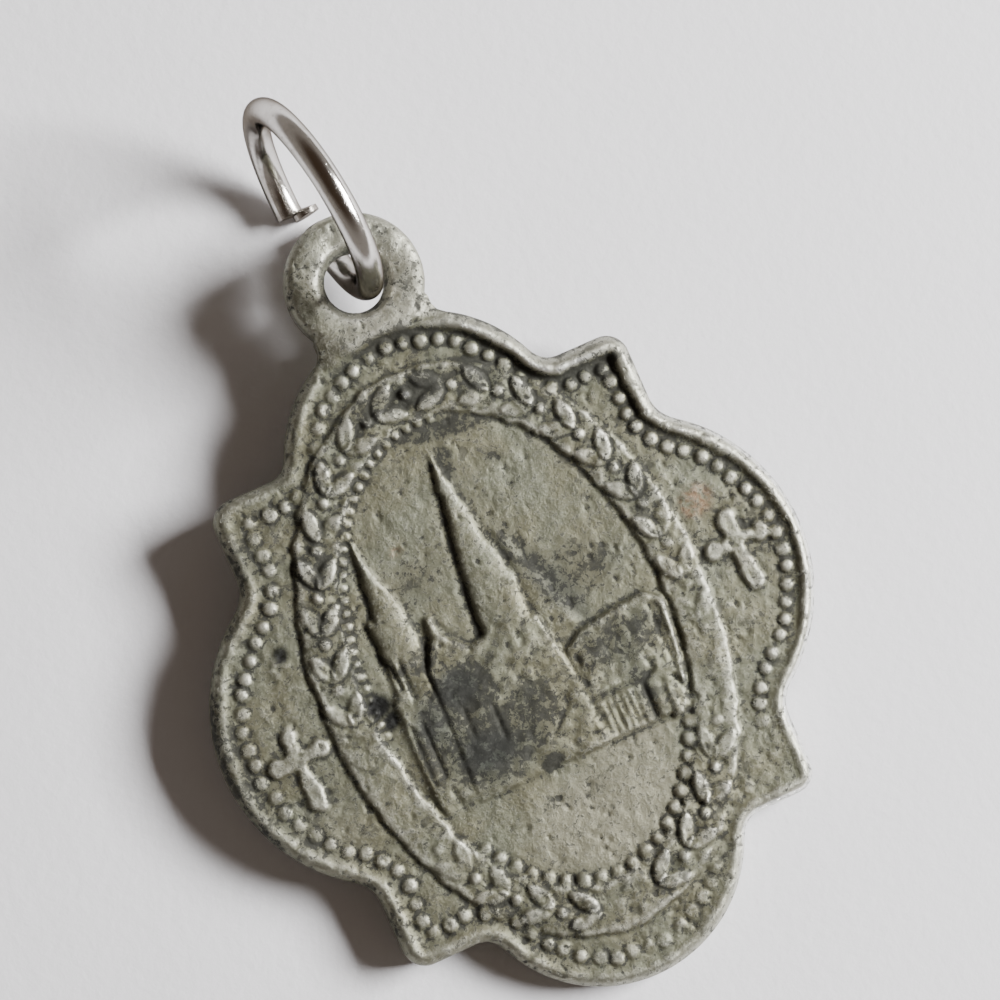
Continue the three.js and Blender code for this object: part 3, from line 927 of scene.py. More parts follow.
    def add_eyelet(self) -> None:
        """Levels the eyelet and dips it around its worn hole."""
        dome_drop, most_drop, crest_shift = 0.09, 1.3, 0.1
        within, beyond = 0.2, 0.9
        away = np.hypot(self.sheet.x, self.sheet.y - self.eyelet_y)
        on_eyelet = 1 - smooth_step(away, self.eyelet_radius - within, self.eyelet_radius + beyond)
        on_eyelet = on_eyelet * (1 - smooth_step(self.depth, 0.35, 1.0))
        crest = (self.hole_radius + self.eyelet_radius) / 2 + crest_shift
        from_crest = np.clip(np.abs(away - crest) / (self.eyelet_radius - crest), 0, most_drop)
        worn = 1 - smooth_step(away, self.hole_radius - 0.1, self.hole_radius + self.chamfer)
        top = self.eyelet_top - dome_drop * from_crest**2 - self.chamfer_depth * worn
        self.height = self.height * (1 - on_eyelet) + top * on_eyelet

    def add_beads(self, source: np.random.Generator) -> None:
        """Sets the row of beads inside the rim, each a little different.

        Args:
            source: The random source.
        """
        corners, shift, lost_shift, lost_swell = 900, 0.03, 0.05, 0.15
        row = self.outline.line(corners, self.bead_inset, self.depth, self.sheet)
        points, _ = even_points(row, self.bead_pitch)
        kept = around(bearing(points[:, 0], points[:, 1]), self.BEADS_KEPT)
        for (x, y), keep in zip(points, kept):
            lost = 1 - keep
            dx, dy = source.normal(0, shift + lost_shift * lost, 2)
            radius = self.bead_radius * source.uniform(0.88, 1.08) * (1 + lost_swell * lost)
            self.add_disc(x + dx, y + dy, radius, self.bead_rise * keep * source.uniform(0.75, 1.1))

    def band_line(self, share: float, extra: float = 0.0) -> Array:
        """The oval a share of the band's width in from its outer edge.

        Args:
            share: 0 at the outer edge and 1 at the inner one.
            extra: A further distance inwards.

        Returns:
            Points of the oval, anticlockwise from the foot.
        """
        corners = 720
        angles = (np.arange(corners) / corners - 0.25) * FULL_TURN
        half_width = self.band[0] - share * self.band_width[0] - extra
        half_height = self.band[1] - share * self.band_width[1] - extra
        return np.column_stack([half_width * np.cos(angles), half_height * np.sin(angles)])

    def add_band(self) -> None:
        """Raises the oval band, with an uneven line cut along each edge."""
        sheet = self.sheet
        outer = oval_depth(sheet.x, sheet.y, *self.band)
        inner = oval_depth(sheet.x, sheet.y, self.band[0] - self.band_width[0],
                           self.band[1] - self.band_width[1])
        self.from_inner_edge = inner
        uneven = 0.04 * self.lumps
        self.on_band = smooth_step(outer + uneven, -0.04, 0.12)
        self.on_band *= 1 - smooth_step(inner + uneven, -0.12, 0.05)
        self.height += self.band_rise * self.on_band
        for from_edge, (depth, ragged, shift, width) in zip((outer, inner), self.BAND_CUTS):
            self.height -= (depth + ragged * self.lumps) * bell(from_edge + uneven + shift, width)

    def add_small_beads(self, source: np.random.Generator) -> None:
        """Sets the small beads along the band's inner edge where they are kept.

        Args:
            source: The random source.
        """
        fade, least = 8.0, 0.1
        for row in self.SMALL_BEAD_ROWS:
            points, _ = even_points(self.band_line(1, row.inset), row.pitch)
            angles = bearing(points[:, 0], points[:, 1])
            kept = smooth_step(angles, row.first, row.first + fade)
            kept = kept * (1 - smooth_step(angles, row.last - fade, row.last))
            for (x, y), keep in zip(points[kept > least], kept[kept > least]):
                radius = row.radius * source.uniform(0.85, 1.08)
                self.add_disc(x, y, radius, self.small_bead_rise * keep * source.uniform(0.8, 1.1))

    def add_leaves(self, source: np.random.Generator) -> None:
        """Lays pairs of leaves along the band, from its foot up both sides to its top.

        Args:
            source: The random source.
        """
        ahead = 0.5 * self.leaf_pitch
        points, directions = even_points(self.band_line(0.5), self.leaf_pitch)
        for (x, y), direction in zip(points[1:], directions[1:]):
            climb = direction if x > 0 else direction + math.pi
            kept = around(bearing(x, y), self.LEAVES_KEPT)
            for side in (-1, 1):
                keep = kept * source.uniform(0.5, 1.0)
                aside = climb + side * math.pi / 2
                turn = climb + side * math.radians(self.leaf_spread + source.normal(0, 4))
                self.add_leaf(x + self.leaf_offset * math.cos(aside),
                              y + self.leaf_offset * math.sin(aside), turn, keep)
            self.add_berry(x + ahead * math.cos(climb), y + ahead * math.sin(climb), kept)

    def add_leaf(self, x: float, y: float, turn: float, keep: float) -> None:
        """Presses one leaf with its vein, and a dark line around it.

        Args:
            x: Its middle, across.
            y: Its middle, along.
            turn: Direction of its length in radians.
            keep: How much of it is left.
        """
        fullness, vein_depth, vein_width = 1.6, 0.25, 0.22
        line_away, line_width, line_depth, line_dark = 0.12, 0.22, 0.035, 0.55
        length, width, rise = self.leaf
        part = self.sheet.window(x, y, length)
        dx, dy = self.sheet.x[part] - x, self.sheet.y[part] - y
        u = (dx * math.cos(turn) + dy * math.sin(turn)) / (length / 2)
        v = (dy * math.cos(turn) - dx * math.sin(turn)) / (width / 2)
        swell = np.clip(1 - u * u, 0, None) ** 0.7
        body = np.sqrt(np.clip(1 - (v / np.maximum(swell, 0.05)) ** 2, 0, None)) * (swell > 0)
        vein = vein_depth * bell(v, vein_width) * swell
        self.height[part] += rise * keep * np.clip(fullness * body - vein, 0, 1)
        edge = bell(np.abs(v) - swell - line_away, line_width) * (np.abs(u) < 1.05)
        self.height[part] -= line_depth * keep * edge
        self.pits[part] += line_dark * keep * edge

    def add_berry(self, x: float, y: float, keep: float) -> None:
        """Raises one berry, with a dark line around it.

        Args:
            x: Its middle, across.
            y: Its middle, along.
            keep: How much of it is left.
        """
        flat, line_width, line_dark = 0.6, 0.06, 0.4
        radius, rise = self.berry
        part = self.sheet.window(x, y, 2 * radius)
        away = np.hypot(self.sheet.x[part] - x, self.sheet.y[part] - y)
        self.height[part] += rise * keep * (1 - smooth_step(away, flat * radius, radius))
        self.pits[part] += line_dark * keep * bell(away - radius, line_width)

    def add_church(self) -> None:
        """Raises the church in low relief inside the oval."""
        ground = self.height.copy()
        for block in self.BLOCKS:
            self.add_block(block, ground)
        for tower in self.TOWERS:
            self.add_tower(tower, ground)
        walls = smooth_step(self.height - ground, 0.06, 0.16)
        walls = walls * (1 - smooth_step(self.sheet.y, 0.6, 2.4))
        self.on_church = walls * (self.from_inner_edge > 0)
        for groove in [*self.GROOVES, self.SCRATCH]:
            self.cut(groove)
        self.add_stripes()
        self.fade_church(ground)

    def add_block(self, block: Block, ground: Array) -> None:
        """Raises a flat form with a soft edge.

        Args:
            block: The form.
            ground: Height of the face before the church.
        """
        spare = 0.3
        part = self.sheet.around_points(block.corners, spare)
        inside = depth_inside(self.sheet.x[part], self.sheet.y[part], block.corners)
        top = ground[part] + block.rise * smooth_step(inside, -block.edge / 2, block.edge / 2)
        self.raise_to(part, top)

    def add_tower(self, tower: Tower, ground: Array) -> None:
        """Raises a rounded upright form that tapers to its top.

        Args:
            tower: The form.
            ground: Height of the face before the church.
        """
        spare, ragged = 0.2, 0.08
        levels, lefts, rights = (np.array(column) for column in zip(*tower.stations))
        foot, top = levels[0], levels[-1]
        part = self.sheet.around_points([(lefts.min(), foot), (rights.max(), top)], spare)
        x, y = self.sheet.x[part], self.sheet.y[part]
        climb = (y - foot) / (top - foot)
        left, right = (np.interp(y, levels, edge) for edge in (lefts, rights))
        width = right - left + ragged * self.lumps[part]
        across = np.clip(1 - ((2 * x - left - right) / width) ** 2, 0, None)
        ends = smooth_step(climb, -0.02, 0.06) * (1 - smooth_step(climb, 0.98, 1.01))
        rise = tower.rise[0] + (tower.rise[1] - tower.rise[0]) * np.clip(climb, 0, 1)
        self.raise_to(part, ground[part] + rise * across**tower.fullness * ends)

    def cut(self, groove: Groove) -> None:
        """Cuts a groove with a dark bottom, or raises a ridge.

        Args:
            groove: The groove or ridge.
        """
        darkness = 5.0
        part = self.sheet.around_points(groove.points, 4 * groove.width)
        profile = bell(line_distance(self.sheet.x[part], self.sheet.y[part], groove.points),
                       groove.width)
        self.height[part] -= groove.depth * profile
        self.pits[part] += darkness * max(groove.depth, 0.0) * profile

    def add_stripes(self) -> None:
        """Raises the upright ribs on the church's wall."""
        sheet, fade, rise = self.sheet, 0.1, 0.03
        left, right, pitch = self.STRIPES
        low, high = self.STRIPE_SPAN
        within = smooth_step(sheet.x, left, left + fade) * (1 - smooth_step(sheet.x, right - fade, right))
        within *= smooth_step(sheet.y, low, low + fade) * (1 - smooth_step(sheet.y, high - fade, high))
        self.height += rise * within * np.sin(sheet.x / pitch * FULL_TURN)

    def fade_church(self, ground: Array) -> None:
        """Fades the church at the left of its foot and where it meets the band.

        Args:
            ground: Height of the face before the church.
        """
        beyond_band = 1.0
        clear = smooth_step(self.from_inner_edge, 0.0, 0.25)
        above = smooth_step(self.sheet.y, -5.1, -3.5)
        kept = above + (1 - above) * smooth_step(self.sheet.x, -0.8, 1.4)
        inside = np.maximum(clear, self.from_inner_edge < -beyond_band)
        self.height = ground + (self.height - ground) * kept * inside

    def add_crosses(self) -> None:
        """Raises the two small crosses with rounded arm ends."""
        ragged, line_dark, line_width = 0.06, 0.4, 0.08
        side, up, down = self.CROSS_ARM
        tips = [(0, up), (-side, -0.02), (side, 0.04)]
        for x, y in (self.LEFT_CROSS, self.RIGHT_CROSS):
            part = self.sheet.window(x, y - 0.4, down + 0.3)
            dx, dy = self.sheet.x[part] - x, self.sheet.y[part] - y
            upright = line_distance(dx, dy, [tips[0], (0.03, -down)])
            beam = line_distance(dx, dy, tips[1:])
            away = np.minimum(upright, beam) - self.CROSS_STROKE
            for tip_x, tip_y in tips:
                away = np.minimum(away, np.hypot(dx - tip_x, dy - tip_y) - self.CROSS_LOBE)
            away += ragged * self.lumps[part]
            top = self.field_height + self.CROSS_RISE * (1 - smooth_step(away, -0.1, 0.06))
            self.raise_to(part, top)
            self.pits[part] += line_dark * bell(away - line_width, line_width)

    def wear(self, source: np.random.Generator) -> None:
        """Softens the casting and gives it lumps, most on the band and the church.

        Args:
            source: The random source.
        """
        softness, church_share, outer_share = 0.035, 0.85, 0.4
        sheet = self.sheet
        self.height = sheet.blur(self.height, softness)
        for rise, size in self.LUMPS:
            self.height += rise * sheet.grain(source, size)
        on_band = self.on_band * around(self.angle, self.LEAVES_KEPT)
        on_church = church_share * self.on_church
        outside_oval = outer_share * (self.from_inner_edge < 0)
        self.rough = np.max([on_band, on_church, outside_oval], axis=0)
        lumps = sum(sheet.grain(source, size) for size in self.ROUGH_SIZES)
        self.height += self.ROUGH_RISE * self.rough * lumps
        self.add_dents(source)

    def add_dents(self, source: np.random.Generator) -> None:
        """Strews small dark dents over the face.

        Args:
            source: The random source.
        """
        xs = source.uniform(*self.DENTED_X, self.dents)
        ys = source.uniform(*self.DENTED_Y, self.dents)
        for x, y in zip(xs, ys):
            radius = source.uniform(0.045, 0.12)
            part = self.sheet.window(x, y, 3 * radius)
            stretch = source.uniform(0.6, 1.6)
            dx, dy = self.sheet.x[part] - x, self.sheet.y[part] - y
            dent = bell(np.hypot(dx * stretch, dy / stretch), radius)
            self.height[part] -= source.uniform(0.02, 0.05) * dent
            self.pits[part] += source.uniform(0.3, 0.9) * dent

    def recesses(self, radius: float, depth: float) -> Array:
        """How far each place lies below its surroundings.

        Args:
            radius: How far the surroundings reach.
            depth: The depth that counts as 1.

        Returns:
            The share of that depth, from 0 to 1.
        """
        return np.clip((self.sheet.blur(self.height, radius) - self.height) / depth, 0, 1)

    def stains(self) -> Array:
        """Dark patina in the recesses and around the beads, more of it where the medal is dirty."""
        dirt = 0.4 * self.recesses(0.32, 0.07) + 0.6 * self.recesses(0.12, 0.028)
        return np.clip(around(self.angle, self.PATINA) * dirt, 0, 1.4)

    def crests_and_highlight(self) -> Array:
        """Rubbed metal on whatever stands proud of its surroundings, and on the outer edge, which also
        carries a painted highlight on the lit right side.

        Returns:
            How rubbed each place is, and above 1 how strongly the painted highlight covers it.
        """
        proud = np.clip((self.height - self.sheet.blur(self.height, 0.25)) / 0.1, 0, 1)
        proud *= 1 - 0.7 * smooth_step(self.from_inner_edge, 0.0, 0.4)
        # The outer edge's share is partly wear and partly a painted highlight, strongest where the light
        # falls from the right.
        edge = (1 - smooth_step(self.depth, 0.16, 0.42)) * around(self.angle, self.EDGE_RUBBED_AND_HIGHLIGHT)
        return np.maximum(proud, edge)

    def patches(self, patches: list[Patch]) -> Array:
        """The cover of several patches together.

        Args:
            patches: The patches.

        Returns:
            The largest cover at each place.
        """
        return np.max([patch.cover(self.sheet) for patch in patches], axis=0)


# materials


class Value:
    """A number on a node's output, with which Python expressions build Math nodes."""

    def __init__(self, maker: Nodes, socket: bpy.types.NodeSocket) -> None:
        """Wraps a socket of the maker's tree."""
        self.maker = maker
        self.socket = socket

    def combine(self, operation: str, first: object, second: object) -> Value:
        """A Math node of two values or numbers.

        Args:
            operation: The Math node's operation.
            first: Its first value or number.
            second: Its second one.

        Returns:
            The result.
        """
        return self.maker.add("ShaderNodeMath", {"operation": operation}, {0: first, 1: second})

    def __add__(self, other: Value | float) -> Value:
        """Sum."""
        return self.combine("ADD", self, other)

    __radd__ = __add__

    def __sub__(self, other: Value | float) -> Value:
        """Difference."""
        return self.combine("SUBTRACT", self, other)

    def __rsub__(self, other: Value | float) -> Value:
        """Difference from a number."""
        return self.combine("SUBTRACT", other, self)

    def __mul__(self, other: Value | float) -> Value:
        """Product."""
        return self.combine("MULTIPLY", self, other)

    __rmul__ = __mul__

    def clamped(self) -> Value:
        """The value held between 0 and 1."""
        return self.maker.add("ShaderNodeClamp", {}, {"Value": self})

    def eased(self, low: float, high: float) -> Value:
        """Eases the value from 0 to 1.

        Args:
            low: Where the rise starts.
            high: Where it ends.

        Returns:
            The eased value.
        """
        settings = {"interpolation_type": "SMOOTHSTEP"}
        return self.maker.add("ShaderNodeMapRange", settings,
                              {"Value": self, "From Min": low, "From Max": high})


class Nodes:
    """Makes the nodes of a material or of the world."""

    def __init__(self, owner: bpy.types.Material | bpy.types.World, shader: str) -> None:
        """Turns the owner's nodes on.

        Args:
            owner: What owns the nodes.
            shader: Name of its shader node.
        """
        self.owner = owner
        owner.use_nodes = True
        self.tree = owner.node_tree
        self.shader = self.tree.nodes[shader]

    @classmethod
    def of_material(cls, name: str) -> Nodes:
        """Starts a new material with a name."""
        return cls(bpy.data.materials.new(name), "Principled BSDF")

    def add(self, kind: str, settings: dict[str, object], inputs: dict[object, object],
            output: int | str = 0) -> Value:
        """Adds a node, sets it and feeds its sockets.

        Args:
            kind: The node's type.
            settings: Its settings by name.
            inputs: A value, link or constant for each socket that is used.
            output: Which output is given back.

        Returns:
            That output.
        """
        node = self.tree.nodes.new(kind)
        for name, value in settings.items():
            setattr(node, name, value)
        for key, value in inputs.items():
            self.feed(node.inputs[key], value)
        return Value(self, node.outputs[output])

    def feed(self, socket: bpy.types.NodeSocket, value: object) -> None:
        """Links a value to a socket, or sets the socket to a constant.

        Args:
            socket: The socket.
            value: The value or constant.
        """
        if isinstance(value, Value):
            self.tree.links.new(value.socket, socket)
        else:
            socket.default_value = value

    def attribute(self, name: str) -> Value:
        """Reads a number that the mesh holds for each vertex."""
        return self.add("ShaderNodeAttribute", {"attribute_name": name}, {}, "Fac")

    def place(self) -> Value:
        """The place on the piece, in metres."""
        return self.add("ShaderNodeTexCoord", {}, {}, "Object")

    def noise(self, place: Value, size: float, detail: float = 3.0, roughness: float = 0.6,
              distortion: float = 0.0) -> Value:
        """Noise from 0 to 1.

        Args:
            place: Where it is read.
            size: Size of its lumps in millimetres.
            detail: How many finer layers it has.
            roughness: How strong they are.
            distortion: How much it is twisted.

        Returns:
            The noise.
        """
        inputs = {"Vector": place, "Scale": 1 / (size * MM), "Detail": detail,
                  "Roughness": roughness, "Distortion": distortion}
        return self.add("ShaderNodeTexNoise", {}, inputs, 0)

    def mix(self, share: Value | float, first: object, second: object) -> Value:
        """Mixes two colours.

        Args:
            share: How much of the second.
            first: A colour or a link.
            second: A colour or a link.

        Returns:
            The mixed colour.
        """
        # A Mix node repeats its sockets' names for each type of data, so they go by number.
        inputs = {0: share, 6: first, 7: second}
        return self.add("ShaderNodeMix", {"data_type": "RGBA"}, inputs, 2)

    def bump(self, height: Value, distance: float, strength: float,
             before: Value | None = None) -> Value:
        """Turns a height into a change of the surface's direction.

        Args:
            height: The height, from 0 to 1.
            distance: What 1 stands for, in millimetres.
            strength: How much of it is used.
            before: A bump that this one adds to.

        Returns:
            The direction.
        """
        inputs = {"Height": height, "Distance": distance * MM, "Strength": strength}
        if before is not None:
            inputs["Normal"] = before
        return self.add("ShaderNodeBump", {}, inputs)

    def finish(self, **inputs: object) -> bpy.types.Material | bpy.types.World:
        """Feeds the shader's sockets.

        Args:
            inputs: A value, link or constant for each socket, its name with _ for a space.

        Returns:
            What owns the nodes.
        """
        for name, value in inputs.items():
            self.feed(self.shader.inputs[name.replace("_", " ").title()], value)
        return self.owner


def tone(red: float, green: float, blue: float) -> Colour:
    """A colour given as it looks on a screen, as the shader wants it.

    Args:
        red: Level of red, from 0 to 255.
        green: Level of green.
        blue: Level of blue.

    Returns:
        The colour as light, with an alpha of 1.
    """

    def linear(level: float) -> float:
        """One channel as light."""
        share = level / 255
        return share / 12.92 if share <= 0.04045 else ((share + 0.055) / 1.055) ** 2.4

    return linear(red), linear(green), linear(blue), 1.0


@dataclass(frozen=True)
class CastMetal:
    """Old cast aluminium: grey with a green cast, dark patina in its recesses, rubbed on its edges, with
    a painted highlight on the outer edge's lit side.

    Attributes:
        plain: Colour of the surface.
        warm: Its yellower parts.
        pale: Cleaner parts of the field.
        rubbed: Worn edges, and part of the painted highlight on the lit outer edge.
        bright: Painted highlight on the lit outer edge, and metal rubbed clean where wear is strongest.
        patina: Dark dirt.
        bluish: Smooth worn patches.
        blot: A few black spots.
        rust: A few small spots.
        broad_size: Size of its broad clouds, in millimetres.
        crust_size: Size of the crusted patches.
        flake_size: Size of the specks and flakes.
        grit_size: Size of the finest grain.
        relief: Height of all these together, in millimetres.
    """

    plain: Colour = tone(105, 106, 90)
    warm: Colour = tone(104, 102, 83)
    pale: Colour = tone(127, 125, 107)
    rubbed: Colour = tone(216, 215, 202)
    patina: Colour = tone(27, 27, 23)
    bluish: Colour = tone(66, 71, 69)
    bright: Colour = tone(246, 246, 240)
    blot: Colour = tone(22, 22, 20)
    rust: Colour = tone(122, 84, 58)
    broad_size: float = 2.2
    crust_size: float = 0.5
    flake_size: float = 0.2
    grit_size: float = 0.07
    relief: float = 0.065

    def build(self) -> bpy.types.Material:
        """Makes the material.

        Returns:
            The material.
        """
        nodes = Nodes.of_material("cast_metal")
        place = nodes.place()
        broad = nodes.noise(place, self.broad_size, 4.0, 0.6)
        crust = nodes.noise(place, self.crust_size, 9.0, 0.68, 0.4)
        flake = nodes.noise(place, self.flake_size, 6.0, 0.7, 0.3)
        grit = nodes.noise(place, self.grit_size, 3.0, 0.7)
        stain = nodes.attribute("stain")
        pits = nodes.attribute("pits")
        dull = nodes.attribute("dull")
        rough = nodes.attribute("rough")
        # crest holds rubbed metal, and a painted highlight along the outer edge on the lit side.
        crest = nodes.attribute("crest")
        blot = nodes.attribute("blot")
        dirty = stain * 0.8 + dull * 0.75 + rough * 0.35 + (broad - 0.5) * 0.8
        patches = (crust + dirty * 0.13).eased(0.55, 0.65)
        specks = (flake + dirty * 0.09 + pits * 0.12).eased(0.585, 0.62)
        film = (stain * 0.35 + dull * 0.5).clamped()
        dirt = (patches * 0.6 + specks * 0.75 + film + pits * 0.45).clamped()
        surface = nodes.mix(broad.eased(0.35, 0.65), self.plain, self.warm)
        surface = nodes.mix(nodes.attribute("pale"), surface, self.pale)
        surface = nodes.mix(nodes.attribute("bluish") * 0.7, surface, self.bluish)
        rusty = nodes.attribute("rusty") * crust.eased(0.4, 0.6) * 0.6
        surface = nodes.mix(rusty, surface, self.rust)
        # The rubbed and bright mixes are partly wear and partly a painted highlight along the outer edge
        # facing the light.
        worn = (crest * 0.66 + (flake - 0.5) * 0.9 + (grit - 0.5) * 0.25).clamped()
        surface = nodes.mix(worn, surface, self.rubbed)
        bare_metal_and_highlight = (crest + (crust - 0.5) * 0.5).eased(0.85, 1.15)
        surface = nodes.mix(bare_metal_and_highlight, surface, self.bright)
        colour = nodes.mix(dirt * 0.88, surface, self.patina)
        colour = nodes.mix(blot, colour, self.blot)
        height = crust * 0.5 + flake * 0.36 + grit * 0.12
        height = height - patches * 0.12 - specks * 0.3 - pits * 0.3
        return nodes.finish(
            base_color=colour,
            metallic=(0.85 - dirt * 0.55).clamped(),
            roughness=(0.44 + dirt * 0.3 + grit * 0.12 - worn * 0.15 - bare_metal_and_highlight * 0.16).clamped(),
            normal=nodes.bump(height, self.relief, 1.0),
        )


@dataclass(frozen=True)
class RingWire:
    """Bright drawn wire with fine scratches and dull spots.

    Attributes:
        bright: Colour of the clean metal.
        dull: Its tarnished parts.
        edge: Tint of what it mirrors at a grazing angle.
        cloud_size: Size of its tarnished clouds, in millimetres.
        spot_size: Size of its dull spots.
        relief: Height of its scratches, in millimetres.
    """

    bright: Colour = tone(214, 211, 206)
    dull: Colour = tone(112, 98, 82)
    edge: Colour = tone(96, 90, 84)
    cloud_size: float = 0.9
    spot_size: float = 0.2
    relief: float = 0.012

    def build(self) -> bpy.types.Material:
        """Makes the material.

        Returns:
            The material.
        """
        nodes = Nodes.of_material("ring_wire")
        place = nodes.place()
        along = nodes.attribute("along")
        across = nodes.attribute("across")
        lines = nodes.add("ShaderNodeCombineXYZ", {}, {"X": along * 0.3, "Y": across * 2.4})
        scratch = nodes.add("ShaderNodeTexNoise", {},
                            {"Vector": lines, "Scale": 6.0, "Detail": 5.0, "Roughness": 0.65})
        cloud = nodes.noise(place, self.cloud_size, 4.0, 0.6)
        spots = nodes.noise(place, self.spot_size, 3.0, 0.6).eased(0.64, 0.72)
        cut = nodes.attribute("cut")
        tarnish = (cloud.eased(0.5, 0.75) * 0.35 + spots * 0.5 + cut * 0.4).clamped()
        colour = nodes.mix(tarnish, self.bright, self.dull)
        height = scratch * 0.5 + cloud * 0.3 - spots * 0.3
        return nodes.finish(
            base_color=colour,
            metallic=1.0,
            specular_tint=self.edge,
            roughness=(0.08 + scratch * 0.14 + tarnish * 0.25).clamped(),
            normal=nodes.bump(height, self.relief, 0.7),
        )


@dataclass(frozen=True)
class Paper:
    """Smooth white paper under the medal.

    Attributes:
        colour: Its colour.
        fibre_size: Size of its fibres, in millimetres.
        cockle_size: Width of its faint waves, in millimetres.
    """

    colour: Colour = tone(233, 232, 235)
    fibre_size: float = 0.5
    cockle_size: float = 6.0

    def build(self) -> bpy.types.Material:
        """Makes the material.

        Returns:
            The material.
        """
        nodes = Nodes.of_material("paper")
        place = nodes.place()
        fibre = nodes.noise(place, self.fibre_size, 5.0, 0.6)
        cockle = nodes.noise(place, self.cockle_size, 2.0, 0.5)
        normal = nodes.bump(fibre, 0.04, 0.6)
        normal = nodes.bump(cockle, 0.08, 0.5, normal)
        return nodes.finish(base_color=self.colour, roughness=0.85, normal=normal)


# the pieces


@dataclass
class Medal:
    """The cast medal with its eyelet.

    Attributes:
        outline: Its outline.
        face: Its face as a height map.
        back_bevel: Rounding of the back's edge.
        rim_round: Rounding of the rim's outer edge.
        eyelet_under: Height of the eyelet's underside.
        eyelet_round: Rounding of the eyelet's edges.
        neck_half_width: Half the width of the neck.
        neck_flare: How much wider its foot is.
        under_chamfer: Chamfer of the hole underneath.
        voxel: Size of the even mesh's faces.
        outline_corners: Corners of the meshed outline.
        eyelet_sides: Sides of the eyelet's disc.
        hole_sides: Sides of the hole.
    """

    outline: Outline
    face: Face
    back_bevel: float = 0.22
    rim_round: float = 0.36
    eyelet_under: float = 0.14
    eyelet_round: float = 0.3
    neck_half_width: float = 2.2
    neck_flare: float = 0.55
    under_chamfer: float = 0.45
    voxel: float = 0.078
    outline_corners: int = 420
    eyelet_sides: int = 120
    hole_sides: int = 96

    def build(self, finish: bpy.types.Material, back: dict[str, object]) -> bpy.types.Object:
        """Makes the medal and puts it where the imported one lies.

        Args:
            finish: Its material.
            back: The record's mount on the flat back.

        Returns:
            The medal.
        """
        medal = self.blank()
        self.strike(medal)
        self.thin_out(medal)
        self.colour_in(medal)
        self.lay(medal, back)
        medal.data.materials.clear()
        medal.data.materials.append(finish)
        return medal

    def blank(self) -> bpy.types.Object:
        """Makes the unstruck body: a plate with the medal's outline, its eyelet and its neck.

        Returns:
            The body, evenly meshed, with a flat top.
        """
        top = self.face.rim_height
        body = plate("medal_face", self.outline.line(self.outline_corners), 0.0, top)
        round_edge(body, top, self.rim_round)
        round_edge(body, 0.0, self.back_bevel, 2)
        eyelet = self.eyelet_disc(top)
        neck = plate("neck", self.neck_outline(), self.eyelet_under, top)
        let_go()
        for part in (body, eyelet, neck):
            part.select_set(True)
        bpy.context.view_layer.objects.active = body
        bpy.ops.object.join()
        apply_modifier(body, "REMESH", mode="VOXEL", voxel_size=self.voxel, adaptivity=0.0)
        return body

    def eyelet_disc(self, top: float) -> bpy.types.Object:
        """Makes the eyelet with its hole, wider underneath.

        Args:
            top: Height of its top.

        Returns:
            The disc.
        """
        y, radius = self.face.eyelet_y, self.face.eyelet_radius
        thickness = top - self.eyelet_under
        let_go()
        bpy.ops.mesh.primitive_cylinder_add(
            vertices=self.eyelet_sides, radius=radius, depth=thickness,
            location=(0, y, self.eyelet_under + thickness / 2))
        disc = bpy.context.object
        bpy.ops.object.transform_apply(location=True, rotation=True, scale=True)
        round_edge(disc, top, self.eyelet_round)
        round_edge(disc, self.eyelet_under, self.eyelet_round)
        let_go()
        bpy.ops.mesh.primitive_cylinder_add(
            vertices=self.hole_sides, radius=self.face.hole_radius, depth=3 * top,
            location=(0, y, top / 2))
        drill = bpy.context.object
        beyond = 0.3
        let_go()
        bpy.ops.mesh.primitive_cone_add(
            vertices=self.hole_sides, radius2=self.face.hole_radius,
            radius1=self.face.hole_radius + self.under_chamfer + beyond,
            depth=self.under_chamfer + beyond,
            location=(0, y, self.eyelet_under + (self.under_chamfer - beyond) / 2))
        sink = bpy.context.object
        for cutter in (drill, sink):
            apply_modifier(disc, "BOOLEAN", operation="DIFFERENCE", object=cutter, solver="EXACT")
            bpy.data.objects.remove(cutter)
        return disc

    def neck_outline(self) -> Array:
        """Points of the neck between the top lobe and the hole.

        Returns:
            The points, one a row, anticlockwise.
        """
        lobe_radius = self.outline.end_radius
        lobe_y = self.outline.end_reach - lobe_radius
        foot = self.neck_half_width + self.neck_flare
        width = self.neck_half_width

        def lobe_top(x: float) -> float:
            """Height of the top lobe's edge at x."""
            return lobe_y + math.sqrt(lobe_radius**2 - x**2)

        below_hole = self.face.eyelet_y - self.face.hole_radius - self.face.chamfer
        half = [
            (width, lobe_top(width) - self.face.rim_width),
            (foot, lobe_top(foot) - 0.1),
            (width + 0.12, lobe_top(foot) + 0.28),
            (width, lobe_top(foot) + self.neck_flare),
            (width, below_hole),
        ]
        return np.array(half + [(-x, y) for x, y in reversed(half)])

    def strike(self, medal: bpy.types.Object) -> None:
        """Moves the top of the body to the face's height map.

        Args:
            medal: The unstruck body.
        """
        still, moved = 0.5, 1.3
        points = mesh_points(medal)
        face = self.face
        target = face.sheet.sample(face.height, points[:, 0], points[:, 1])
        grip = smooth_step(points[:, 2], still, moved)
        points[:, 2] += grip * (target - face.rim_height)
        move_points(medal, points)

    def thin_out(self, medal: bpy.types.Object) -> None:
        """Thins the flat back and the side walls, which need few faces.

        Args:
            medal: The struck medal.
        """
        under_back, back_top, wall_top = -1.0, 0.02, 0.9
        for share, low, high in ((0.06, under_back, back_top), (0.5, back_top, wall_top)):
            centres = np.empty(len(medal.data.polygons) * 3)
            medal.data.polygons.foreach_get("center", centres)
            heights = centres.reshape(-1, 3)[:, 2]
            select_faces(medal, (heights > low) & (heights < high))
            bpy.ops.mesh.decimate(ratio=share)
            bpy.ops.object.mode_set(mode="OBJECT")
        pick(medal)
        bpy.ops.object.shade_smooth()

